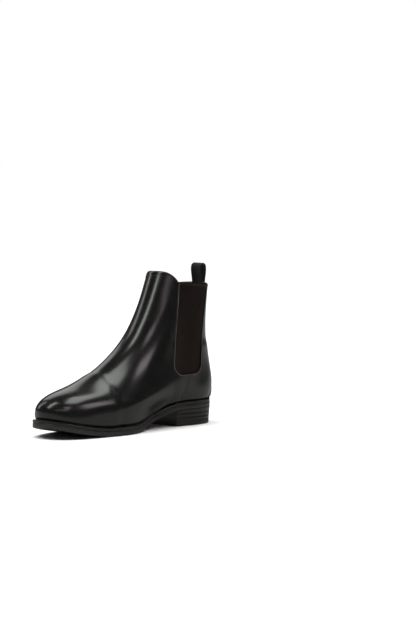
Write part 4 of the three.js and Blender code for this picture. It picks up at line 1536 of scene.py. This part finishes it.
    def gore(self, side: int, name: str) -> None:
        """Make one elastic gore: a backing sheet, its ribs and a hem.

        Args:
            side: 1 on the medial side, -1 on the lateral side.
            name: The side's name.
        """
        bench, sizes, pattern = self.bench, self.sizes, self.pattern
        turns = np.linspace(*self.GORE_TURNS[side], 120)
        rises = np.linspace(*self.gore_rises, 110)
        sheet = bench.skin(f"gore_elastic_{name}", turns, rises, *self.gore_faces)
        carve(sheet, bench.gore_block(self.gore_underlap), Carve.KEEP_INSIDE)
        carve(sheet, bench.above_topline(self.gore_drop), Carve.TAKE_AWAY)
        sharpen(sheet)
        face = Surface(self.last, self.gore_faces[1] + self.rib_sink * self.rib_radius)
        width = sizes.gore_back - sizes.gore_front
        count = int(width / self.rib_spacing)
        heights = np.arange(sizes.gore_bottom, sizes.topline_height, self.rib_step)
        tracks = []
        for share in (np.arange(count) + 0.5) / count:
            y = pattern.front_edge(heights) * (1 - share) + pattern.back_edge(heights) * share
            inside = pattern.in_gore(y, heights, sizes.clearance + self.rib_radius)
            inside &= heights < pattern.topline(y) - self.hem_drop
            if inside.sum() > 2:
                tracks.append(face.from_side(list(zip(y[inside], heights[inside])), side))
        ribs = self.repeater.run(f"ribs_{name}", Repeat.RIBS, tracks,
                                 self.fitter.dyes[Finish.ELASTIC], Radius=self.rib_radius * MM)
        front, back = self.gore_turns if side > 0 else [1 - turn for turn in self.gore_turns[::-1]]
        turns = np.linspace(front + self.hem_gap, back - self.hem_gap, 50)
        hem = self._rolled_edge(f"hem_{name}", turns, self.HEM_SECTION)
        join(sheet, [ribs, hem])
        self.fitter.fit(sheet, Finish.ELASTIC, self.fitter.gore, f"gore_{name}")

    def _stitches(self, name: str, tracks: Sequence[Track], body: str | Fold) -> None:
        """Lay rows of stitches and fit them."""
        row = self.repeater.run(name, Repeat.STITCHES, tracks, self.fitter.dyes.thread,
                                **UPPER_STITCH)
        self.fitter.fit(row, Finish.CALF, body, material=self.fitter.dyes.thread)

    def stitching(self) -> None:
        """Sew the gore edges, the side seams, the topline and the backstay."""
        sizes, pattern, face = self.sizes, self.pattern, self.leather_face
        front_rows, back_rows = [], []
        top = sizes.topline_height - self.gore_row_drop
        below_gore, above_welt = self.seam_row_ends
        for side, _ in SIDES:
            line = pattern.gore_outline(self.stitch_inset + sizes.clearance, top)
            middle = pattern.seam_top[0]
            front_line = [p for p in densify(line) if p[0] < middle - self.seam_gap]
            back_line = [p for p in densify(line) if p[0] > middle + self.seam_gap]
            front_rows.append(face.from_side(front_line, side))
            back_rows.append(face.from_side(back_line, side))
            heights = np.linspace(sizes.gore_bottom - below_gore, above_welt, 30)
            for shift in self.seam_rows:
                y = pattern.seam_y(heights) - shift
                front_rows.append(face.from_side(list(zip(y, heights)), side))
            y = pattern.seam_y(heights) + self.seam_rows[0]
            back_rows.append(face.from_side(list(zip(y, heights)), side))
        self._gore_edges()
        front, back = self.gore_turns
        gap = self.row_gap
        front_rows.append(self._topline_row(np.linspace(-front + gap, front - gap, 120)))
        back_rows.append(self._topline_row(np.linspace(back + gap, 1 - back - gap, 120)))
        self._stitches("front_stitching", front_rows, "boot")
        self._stitches("quarter_stitching", back_rows, self.fitter.shaft)
        over = Surface(self.last, pattern.backstay_outer)
        foot, drop = self.backstay_row_ends
        heights = np.linspace(foot, sizes.topline_height - drop, 140)
        half = self._backstay_half(heights) - self.backstay_inset
        rows = [over.from_back(list(zip(sign * half, heights))) for sign in (1, -1)]
        self._stitches("backstay_stitching", rows, self.fitter.shaft)

    def _gore_edges(self) -> None:
        """Run a rounded bead round the gore openings, coloured pale as a painted highlight on the
        folded leather edge.
        """
        pattern, face = self.pattern, self.leather_face
        middle, top = pattern.seam_top[0], self.sizes.topline_height - self.bead_drop
        outline = pattern.gore_outline(self.sizes.clearance + self.bead_inset, top)
        gap = self.bead_gap
        line = [p for p in densify(outline) if p[1] < pattern.topline(p[0]) - self.drop - gap]
        parts = {"front": ([p for p in line if p[0] < middle - gap], "boot"),
                 "quarter": ([p for p in line if p[0] > middle + gap], self.fitter.shaft)}
        for name, (run, body) in parts.items():
            tracks = [face.from_side(run, side) for side in (1, -1)]
            # The bead's pale material is a painted highlight on the edge.
            bead = self.repeater.run(f"{name}_edge_bead", Repeat.RIBS, tracks,
                                     self.fitter.dyes.edge_paint, Radius=self.bead_radius)
            self.fitter.fit(bead, Finish.CALF, body, material=self.fitter.dyes.edge_paint)

    def _topline_row(self, turns: np.ndarray) -> Track:
        """Draw the row of stitches under the topline edge."""
        drop = self.drop + self.edge_lap + self.topline_row_drop
        rises = self.last.rise_at(turns, lambda y: self.pattern.topline(y) - drop)
        points = self.last.offset(turns, rises, self.pattern.leather_outer)
        return Track(points, self.last.normal(turns, rises))


def join(piece: bpy.types.Object, others: Sequence[bpy.types.Object]) -> bpy.types.Object:
    """Join meshes into the first one's object and drop the others."""
    with bpy.context.temp_override(active_object=piece, object=piece,
                                   selected_editable_objects=[piece, *others],
                                   selected_objects=[piece, *others]):
        bpy.ops.object.join()
    return piece


# ---- Bottom --------------------------------------------------------------------------


@dataclass
class Bottom:
    """The welt, the outsole, the heel stack and what lies hidden in the boot."""

    HIDDEN = {"insole": Finish.INSOLE, "heel_pad": Finish.LINING, "cork_filler": Finish.CORK,
              "shank": Finish.STEEL, "toe_puff": Finish.BOARD, "heel_counter": Finish.BOARD}
    CHANNEL = ((0.5, 0), (0.25, 1), (-0.05, 1), (-0.35, 0))
    SOLE_FOOT = ((1.6, 0.0), (0.7, 0.12), (0.25, 0.45), (0.02, 1.1))
    SOLE_HEAD = ((0.02, 0.9), (0.2, 0.3), (0.6, 0.0))
    WELT_FOOT = ((0.7, 0.0), (0.25, 0.25), (0.0, 0.9))
    SHELF_EDGE = ((0.0, 0.0), (0.5, 0.4))

    bench: Bench
    fitter: Fitter
    repeater: Repeater
    sole_core: float = 14.0
    channel_inset: float = 3.8
    channel_depth: float = 0.55
    shelf: float = 4.3
    welt_brow: float = 0.8
    rebate: float = 1.9
    rebate_run: float = 0.9
    tip_line: tuple = ((-34.0, -38.0), (24.0, -17.0))
    settled: float = 0.24
    breast_reach: float = 45.0
    heel_ease: float = 0.12
    core: float = 20.0
    welt_row: float = 3.6
    welt_row_gap: float = 2.0
    wheel_row: float = 1.7
    wheel_sink: float = 0.02
    wheel_gap: float = 1.5
    thread_shift: float = 0.12
    thread_drop: float = 0.1
    channel_gap: float = 3.0
    nail_radius: float = 0.0008
    hole_radius: float = 0.00095
    drill_length: float = 0.04

    def __post_init__(self) -> None:
        """Keep the sizes at hand."""
        self.sizes, self.last = self.bench.sizes, self.bench.last

    def build(self) -> None:
        """Make every piece of the bottom."""
        self.outsole()
        self.welt()
        self.heel()
        self.nails()
        self.hidden()
        self.bottom_stitching()

    def outsole(self) -> None:
        """Make the leather outsole with its closed channel."""
        over, inset, deep = self.bench.over_tread, self.channel_inset, self.channel_depth
        top = self.sizes.outsole
        rings = [(self.sole_core, 0.0)]
        rings += [(inset + shift, share * deep) for shift, share in self.CHANNEL]
        rings += [*self.SOLE_FOOT, (0.0, top * 0.5)]
        rings += [(shift, top - down) for shift, down in self.SOLE_HEAD]
        rings += [(self.sole_core, top)]
        sole = self.bench.ring("outsole_leather", [(at, over(height)) for at, height in rings])
        self.fitter.fit(sharpen(sole, BROAD_ANGLE), Finish.SOLE, "boot", "outsole")

    def _strip(self, name: str) -> bpy.types.Object:
        """Make the welt as one closed strip all round."""
        over, low, high = self.bench.over_tread, self.sizes.welt_floor, self.sizes.welt_top
        wide, step = self.sizes.welt_ring, self.rebate
        rings = [(wide, low)]
        rings += [(shift, low + up) for shift, up in self.WELT_FOOT]
        rings += [(shift, high - down) for shift, down in self.WELT_FOOT[:0:-1]]
        rings += [(self.welt_brow, high)]
        rings += [(self.shelf + shift, high - down) for shift, down in self.SHELF_EDGE]
        rings += [(self.shelf + self.rebate_run, high - step), (wide, high - step)]
        return self.bench.ring(name, [(at, over(height)) for at, height in rings], closed=True)

    def welt(self) -> None:
        """Make the welt and the heel rand."""
        gap = self.sizes.clearance / 2
        front = [(-REACH, -REACH), (REACH, -REACH), (REACH, self.sizes.breast - gap),
                 (-REACH, self.sizes.breast - gap)]
        back = [(-REACH, self.sizes.breast + gap), (REACH, self.sizes.breast + gap),
                (REACH, REACH), (-REACH, REACH)]
        for node, outline in (("welt", front), ("heel_rand", back)):
            strip = carve(self._strip(f"{node}_strip"), self.bench.plan_block(outline),
                          Carve.KEEP_INSIDE)
            self.fitter.fit(sharpen(strip, BROAD_ANGLE), Finish.EDGE, "boot", node)

    def _breast_block(self) -> bpy.types.Object:
        """Return a block in front of the hollow heel breast."""
        reach, depth = self.breast_reach, self.sizes.breast_depth
        radius = (reach * reach + depth * depth) / (2 * depth)
        across = np.linspace(-reach, reach, 60)
        along = self.sizes.breast + depth - radius + np.sqrt(radius * radius - across * across)
        arc = list(zip(across, along))
        return self.bench.plan_block([(-REACH, -REACH), (REACH, -REACH), (REACH, arc[-1][1]),
                                      *arc[::-1], (-REACH, arc[-1][1])])

    def _taper(self, z: float) -> float:
        """Return how far the heel's side has drawn in at a height."""
        return self.sizes.heel_taper * (1 - z / self.sizes.heel_seat)

    def _layer(self, name: str, low: float, high: float | Profile) -> bpy.types.Object:
        """Make one layer of the heel with eased edges."""
        ease, core, floor = self.heel_ease, self.core, self.bench.level(low)
        top = high if callable(high) else self.bench.level(high)
        foot = self._taper(low)
        head = self._taper(self.sizes.heel_seat if callable(high) else high)
        rings = [(core, floor), (foot + ease, floor), (foot, self.bench.level(low + ease)),
                 (head, lambda y: top(y) - ease), (head + ease, top), (core, top)]
        layer = self.bench.ring(name, rings)
        return carve(layer, self._breast_block(), Carve.TAKE_AWAY)

    def _tip_block(self, shift: float) -> bpy.types.Object:
        """Return a block behind the line where leather meets rubber."""
        far = 4 * REACH
        (x0, y0), (x1, y1) = self.tip_line
        slope = (y1 - y0) / (x1 - x0)
        edge = [(x, y0 + slope * (x - x0) + shift) for x in (-REACH, REACH)]
        return self.bench.plan_block([*edge, (REACH, far), (-REACH, far)])

    def heel(self) -> None:
        """Make the heel lifts, the top lift and the rubber tip."""
        sizes = self.sizes
        gap = sizes.clearance
        base = sizes.top_lift + gap
        for number in (1, 2, 3):
            node = f"heel_lift_{number}"
            high = self.bench.over_tread(-gap) if number == 3 else base + sizes.heel_lift
            layer = self._layer(f"{node}_leather", base - self.settled, high)
            base = base + sizes.heel_lift + gap
            if number == 1:
                self._drill(layer)
            self.fitter.fit(sharpen(layer, BROAD_ANGLE), Finish.EDGE, "boot", node)
        lift = self._layer("top_lift_leather", 0.0, sizes.top_lift)
        tip = copy_of(lift, "rubber_tip")
        carve(lift, self._tip_block(-gap / 2), Carve.TAKE_AWAY)
        carve(tip, self._tip_block(gap / 2), Carve.KEEP_INSIDE)
        self._drill(lift)
        self.fitter.fit(sharpen(lift, BROAD_ANGLE), Finish.SOLE, "boot", "top_lift")
        self.fitter.fit(sharpen(tip, BROAD_ANGLE), Finish.RUBBER, "boot", "rubber_heel_tip")

    def _nail_track(self) -> Track:
        """Return the nails' middles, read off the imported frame."""
        names = nail_names()
        middles = [(np.array(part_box(n)[0]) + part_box(n)[1]) / 2 / MM for n in names]
        place = self.bench.place
        local = np.array(middles) - (place.x, place.y, 0)
        return Track(local, np.tile((0.0, 0.0, 1.0), (len(names), 1)))

    def _drill(self, piece: bpy.types.Object) -> None:
        """Drill the nail holes through a heel layer."""
        pins = self.repeater.run("drills", Repeat.PINS, [self._nail_track()],
                                 self.fitter.dyes[Finish.BRASS],
                                 Radius=self.hole_radius, Length=self.drill_length)
        carve(piece, pins, Carve.TAKE_AWAY)

    def nails(self) -> None:
        """Make the brass nails."""
        low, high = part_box("heel_nail_01")
        nails = self.repeater.run("heel_nails", Repeat.PINS, [self._nail_track()],
                                  self.fitter.dyes[Finish.BRASS],
                                  Radius=self.nail_radius, Length=float(high[2] - low[2]))
        self.fitter.fit(sharpen(nails), Finish.BRASS, "boot", *nail_names())

    def hidden(self) -> None:
        """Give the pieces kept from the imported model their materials."""
        for node, finish in self.HIDDEN.items():
            piece = bpy.data.objects[node]
            for place in piece.material_slots:
                place.material = self.fitter.dyes[finish]
            log.info("%s kept, %s", node, finish.value)

    def _edge_track(self, inset: float, height: float, up: float, after: float,
                    before: float) -> list:
        """Return runs of a line parallel to the sole edge.

        Args:
            inset: Distance from the edge.
            height: Height above the tread.
            up: 1 for a line seen from above, -1 from below.
            after: The run's lowest y.
            before: The run's highest y.

        Returns:
            One track for each unbroken run.
        """
        turns = np.linspace(-0.5, 0.5, 900)
        flat = self.last.plan(turns, self.last.sole_margin(inset))
        keep = (flat[:, 1] > after) & (flat[:, 1] < before)
        points = np.column_stack([flat, self.last.tread(flat[:, 1]) + height])
        slope = np.gradient(self.last.tread(flat[:, 1]), flat[:, 1])
        outward = np.column_stack([np.zeros(len(flat)), -slope, np.ones(len(flat))]) * up
        outward /= np.linalg.norm(outward, axis=1, keepdims=True)
        breaks = np.flatnonzero(np.diff(keep.astype(int))) + 1
        runs = [run for run in np.split(np.arange(len(turns)), breaks) if keep[run[0]]]
        return [Track(points[run], outward[run]) for run in runs if len(run) > 3]

    def bottom_stitching(self) -> None:
        """Sew the welt, wheel its edge and close the channel."""
        sizes, dyes = self.sizes, self.fitter.dyes
        breast = sizes.breast
        welt_row = self._edge_track(self.welt_row, sizes.welt_top, 1, -REACH,
                                    breast - self.welt_row_gap)
        row = self.repeater.run("welt_stitching", Repeat.STITCHES, welt_row, dyes.thread,
                                **WELT_STITCH)
        self.fitter.fit(row, Finish.EDGE, "boot", material=dyes.thread)
        wheel, gap, height = [], self.wheel_gap, sizes.welt_top - self.wheel_sink
        for after, before in ((-REACH, breast - gap), (breast + gap, REACH)):
            wheel += self._edge_track(self.wheel_row, height, 1, after, before)
        marks = self.repeater.run("welt_wheeling", Repeat.STITCHES, wheel, dyes[Finish.EDGE],
                                  **WHEEL_MARK)
        self.fitter.fit(marks, Finish.EDGE, "boot")
        channel = self._edge_track(self.channel_inset - self.thread_shift,
                                   self.channel_depth - self.thread_drop, -1, -REACH,
                                   breast - self.channel_gap)
        thread = self.repeater.run("channel_stitching", Repeat.STITCHES, channel,
                                   dyes.channel_thread, **CHANNEL_STITCH)
        self.fitter.fit(thread, Finish.SOLE, "boot", material=dyes.channel_thread)


def nail_names() -> list[str]:
    """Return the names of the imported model's heel nails in order."""
    return sorted(o.name for o in bpy.data.objects
                  if o.get("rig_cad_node") and o.name.startswith("heel_nail_"))


# ---- Pull tab ------------------------------------------------------------------------


@dataclass
class PullTab:
    """The webbing loop sewn to the back of the collar."""

    LOOP = ((1.0, 1.5), (0.72, 0.3), (0.0, 0.0), (-0.72, 0.3), (-1.0, 1.5))

    bench: Bench
    fitter: Fitter
    repeater: Repeater
    stations: int = 150
    edge_radius: float = 0.7
    sew_inset: float = 1.8
    sew_foot: float = 2.0
    sew_head: float = 3.5

    def __post_init__(self) -> None:
        """Keep the sizes at hand."""
        self.sizes, self.last, self.pattern = self.bench.sizes, self.bench.last, self.bench.pattern

    def _line(self) -> np.ndarray:
        """Return the webbing's middle line as y and z, from the outside leg over to the inside."""
        sizes = self.sizes
        top_at_back = float(self.pattern.topline(0.0))
        outside = (sizes.lining + sizes.leather + sizes.backstay + 2 * sizes.clearance
                   + sizes.tab_seat + sizes.tab_thickness / 2)
        inside = -sizes.tab_seat - sizes.tab_thickness / 2

        def leg(z: float, offset: float) -> tuple[float, float]:
            """Return a place on the back of the collar at a distance from the last."""
            rise = self.last.rise_at(np.array([0.5]), lambda y: np.full(len(y), z))
            point = self.last.offset(np.array([0.5]), rise, offset)[0]
            return float(point[1]), float(point[2])

        out, into = sizes.tab_leg_outside, sizes.tab_leg_inside
        middle = (leg(top_at_back, outside)[0] + leg(top_at_back, inside)[0]) / 2
        swell = (sizes.tab_open + sizes.tab_thickness) / 2
        top = top_at_back + sizes.tab_loop - sizes.tab_thickness / 2
        knots = np.array([
            leg(top_at_back - out, outside), leg(top_at_back - out / 2, outside),
            leg(top_at_back, outside),
            *((middle + out_share * swell, top - down * swell) for out_share, down in self.LOOP),
            leg(top_at_back, inside), leg(top_at_back - into / 2, inside),
            leg(top_at_back - into, inside)])
        run = np.concatenate([[0], np.cumsum(np.linalg.norm(np.diff(knots, axis=0), axis=1))])
        along = np.linspace(0, run[-1], self.stations)
        return np.column_stack([NaturalSpline(list(zip(run, knots[:, k])))(along) for k in (0, 1)])

    def build(self) -> None:
        """Make the webbing and its box of stitches."""
        line = self._line()
        tangent = np.gradient(line, axis=0)
        tangent /= np.linalg.norm(tangent, axis=1, keepdims=True)
        out = np.column_stack([tangent[:, 1], -tangent[:, 0]])
        section = self._section()
        radius = float(self.last.heel(1.0)) + self.sizes.lining + self.sizes.leather
        x, far = section[:, 0], section[:, 1]
        y = line[:, None, 0] + out[:, None, 0] * far - (x * x) / (2 * radius)
        z = line[:, None, 1] + out[:, None, 1] * far
        points = np.stack([np.broadcast_to(x, y.shape), y, z], axis=-1)
        webbing = self.bench.sweep("pull_tab_webbing", points)
        length = np.concatenate([[0], np.cumsum(np.linalg.norm(np.diff(line, axis=0), axis=1))])
        uv = np.stack([np.broadcast_to(x, y.shape), np.broadcast_to(length[:, None], y.shape)], -1)
        paint_uv(webbing, uv.reshape(-1, 2) * MM)
        self.fitter.fit(sharpen(webbing, BROAD_ANGLE), Finish.WEBBING, self.fitter.loop, "pull_tab")
        self._sew(line, out, radius)

    def _section(self) -> np.ndarray:
        """Return the webbing's rounded section as x and thickness."""
        round_off, thick = self.edge_radius, self.sizes.tab_thickness / 2
        straight = self.sizes.tab_width / 2 - round_off
        flat = np.linspace(-straight, straight, 14)
        edge = np.linspace(-math.pi / 2, math.pi / 2, 6)[1:-1]
        right = np.column_stack([straight + round_off * np.cos(edge), thick * np.sin(edge)])
        left = -right
        low = np.column_stack([flat, np.full(len(flat), -thick)])
        high = np.column_stack([flat[::-1], np.full(len(flat), thick)])
        return np.concatenate([low, right, high, left])

    def _sew(self, line: np.ndarray, out: np.ndarray, radius: float) -> None:
        """Sew the outside leg down with a box of stitches."""
        half = self.sizes.tab_width / 2 - self.sew_inset
        top_at_back = float(self.pattern.topline(0.0))
        foot = top_at_back - self.sizes.tab_leg_outside + self.sew_foot
        low = int(np.argmax(line[:, 1] > foot))
        high = int(np.argmax(line[:, 1] > top_at_back - self.sew_head))
        lift = self.sizes.tab_thickness / 2

        def at(x: float, i: int) -> tuple[float, float, float]:
            """Return a place on the webbing's outside face."""
            return (x, line[i, 0] + out[i, 0] * lift - x * x / (2 * radius),
                    line[i, 1] + out[i, 1] * lift)

        rows = [[at(x, i) for i in range(low, high + 1)] for x in (-half, half)]
        rows += [[at(x, i) for x in np.linspace(-half, half, 14)] for i in (low, high)]
        tracks = [Track(np.array(row), np.tile((0.0, 1.0, 0.0), (len(row), 1))) for row in rows]
        stitches = self.repeater.run("pull_tab_stitching", Repeat.STITCHES, tracks,
                                     self.fitter.dyes.thread, **TAB_STITCH)
        self.fitter.fit(stitches, Finish.WEBBING, "back_collar", material=self.fitter.dyes.thread)


# ---- Studio --------------------------------------------------------------------------


@dataclass(frozen=True)
class Softbox:
    """A rectangular light aimed at the boot, placed by its bearing round it."""

    name: str
    azimuth: float
    elevation: float
    distance: float
    width: float
    height: float
    watts: float
    colour: tuple[float, float, float]


def bearing(azimuth: float, elevation: float) -> Vector:
    """Return a bearing's direction: azimuth 0 is in front of the toe, 90 on the medial side."""
    turn, lift = math.radians(azimuth), math.radians(elevation)
    flat = math.cos(lift)
    return Vector((math.sin(turn) * flat, -math.cos(turn) * flat, math.sin(lift)))


@dataclass
class Studio:
    """The pale floor, the soft lights and the camera."""

    target: tuple[float, float, float] = (0.0, 0.0139, 0.080)
    azimuth: float = 43.7
    elevation: float = 5.2
    distance: float = 3.0
    lens: float = 140.0
    shift: tuple[float, float] = (0.1224, 0.083)

    SOFTBOXES = (
        Softbox("overhead_strip", -11.0, 57.0, 2.4, 0.5, 2.0, 14.0, (0.94, 1.0, 0.93)),
        Softbox("crown_box", 138.0, 69.0, 2.3, 1.25, 0.8, 10.5, (0.95, 1.0, 0.94)),
        Softbox("left_strip", -78.0, 29.0, 2.6, 0.6, 1.8, 6.0, (1.0, 0.9, 0.93)),
        Softbox("right_bar", 50.0, 32.0, 2.5, 1.7, 0.18, 2.0, (1.0, 0.88, 0.92)),
        Softbox("right_box", 75.0, 44.0, 2.5, 0.55, 0.6, 2.4, (1.0, 0.88, 0.92)),
        Softbox("side_box", 114.0, 33.0, 2.4, 0.5, 0.75, 3.6, (1.0, 0.9, 0.93)),
        Softbox("far_box", -121.0, 39.0, 2.5, 1.3, 1.3, 6.0, (0.98, 1.0, 0.97)),
        Softbox("back_box", 207.0, 36.0, 2.6, 0.4, 1.3, 4.4, (1.0, 1.0, 1.0)),
        Softbox("rear_strip", 168.0, 40.0, 2.6, 0.25, 1.2, 2.4, (1.0, 0.95, 0.97)),
    )

    FLOOR_SEEN, FLOOR_MIRRORED = (0.93, 0.93, 0.93, 1.0), (0.24, 0.24, 0.23, 1.0)
    FLOOR_RADIUS = 30.0
    WHITE = (1.0, 1.0, 1.0, 1.0)
    SURROUNDING_GLOW = 0.06
    SUN_STRENGTH, SUN_SPREAD, SUN_TILT = 3.3, 70, (6, -8)
    SENSOR_WIDTH, CLIP_END = 36.0, 100.0

    def build(self) -> None:
        """Set up the floor, the lights, the surroundings and the camera."""
        self._floor()
        for box in self.SOFTBOXES:
            self._softbox(box)
        self._sun()
        self._surroundings()
        self._camera()

    def _floor(self) -> None:
        """Lay the floor, which is dimmer in reflections than to the eye."""
        bpy.ops.mesh.primitive_circle_add(vertices=64, radius=self.FLOOR_RADIUS, fill_type="NGON")
        floor = bpy.context.object
        floor.name = "studio_floor"
        material = bpy.data.materials.new("pale_floor")
        material.use_nodes = True
        material.node_tree.nodes.clear()
        tree = Tree(material.node_tree)
        ray = tree.add("ShaderNodeLightPath")
        shade = tree.tint(ray.outputs["Is Glossy Ray"], self.FLOOR_SEEN, self.FLOOR_MIRRORED)
        matt = tree.add("ShaderNodeBsdfDiffuse", {"Color": shade})
        tree.add("ShaderNodeOutputMaterial", {"Surface": matt.outputs[0]})
        floor.data.materials.append(material)

    def _softbox(self, box: Softbox) -> None:
        """Hang one softbox, aimed at the boot."""
        light = bpy.data.lights.new(box.name, "AREA")
        light.shape = "RECTANGLE"
        light.size, light.size_y = box.width, box.height
        light.energy, light.color = box.watts, box.colour
        lamp = bpy.data.objects.new(box.name, light)
        self._aim(lamp, box.azimuth, box.elevation, box.distance)
        lamp.visible_camera = False
        bpy.context.scene.collection.objects.link(lamp)

    def _aim(self, item: bpy.types.Object, azimuth: float, elevation: float,
             distance: float) -> None:
        """Set a lamp or a camera at a bearing from the target and point it there."""
        way = bearing(azimuth, elevation)
        item.location = Vector(self.target) + way * distance
        item.rotation_euler = (-way).to_track_quat("-Z", "Y").to_euler()

    def _sun(self) -> None:
        """Add the broad overhead light that evens out the floor; it doesn't show in reflections."""
        light = bpy.data.lights.new("overhead", "SUN")
        light.energy, light.angle = self.SUN_STRENGTH, math.radians(self.SUN_SPREAD)
        lamp = bpy.data.objects.new("overhead", light)
        lamp.rotation_euler = (*(math.radians(tilt) for tilt in self.SUN_TILT), 0.0)
        lamp.visible_glossy = False
        bpy.context.scene.collection.objects.link(lamp)

    def _surroundings(self) -> None:
        """Make the surroundings white to the eye and dim in reflections."""
        world = bpy.data.worlds.new("studio")
        world.use_nodes = True
        world.node_tree.nodes.clear()
        tree = Tree(world.node_tree)
        seen, felt = (tree.add("ShaderNodeBackground", {"Color": self.WHITE, "Strength": strength})
                      for strength in (1.0, self.SURROUNDING_GLOW))
        ray = tree.add("ShaderNodeLightPath")
        mix = tree.add("ShaderNodeMixShader", {
            0: ray.outputs["Is Camera Ray"], 1: felt.outputs[0], 2: seen.outputs[0]})
        tree.add("ShaderNodeOutputWorld", {"Surface": mix.outputs[0]})
        bpy.context.scene.world = world

    def _camera(self) -> None:
        """Set the camera."""
        camera = bpy.data.cameras.new("camera")
        camera.lens, camera.sensor_width = self.lens, self.SENSOR_WIDTH
        camera.shift_x, camera.shift_y = self.shift
        camera.clip_end = self.CLIP_END
        eye = bpy.data.objects.new("camera", camera)
        self._aim(eye, self.azimuth, self.elevation, self.distance)
        bpy.context.scene.collection.objects.link(eye)
        bpy.context.scene.camera = eye
        bpy.context.scene.view_settings.view_transform = "Standard"


# ---- Making the boot -----------------------------------------------------------------


def main() -> None:
    """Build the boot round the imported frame."""
    logging.basicConfig(level=logging.INFO, format="%(name)s: %(message)s")
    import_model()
    sizes = BootSizes()
    last = Last(sizes)
    place = Placement.from_frame(sizes)
    bench = Bench(last, Pattern(last), place)
    fitter = Fitter(Dyes(), bench)
    repeater = Repeater(place)
    Studio().build()
    Upper(bench, fitter, repeater).build()
    Bottom(bench, fitter, repeater).build()
    PullTab(bench, fitter, repeater).build()


if __name__ == "__main__":
    main()
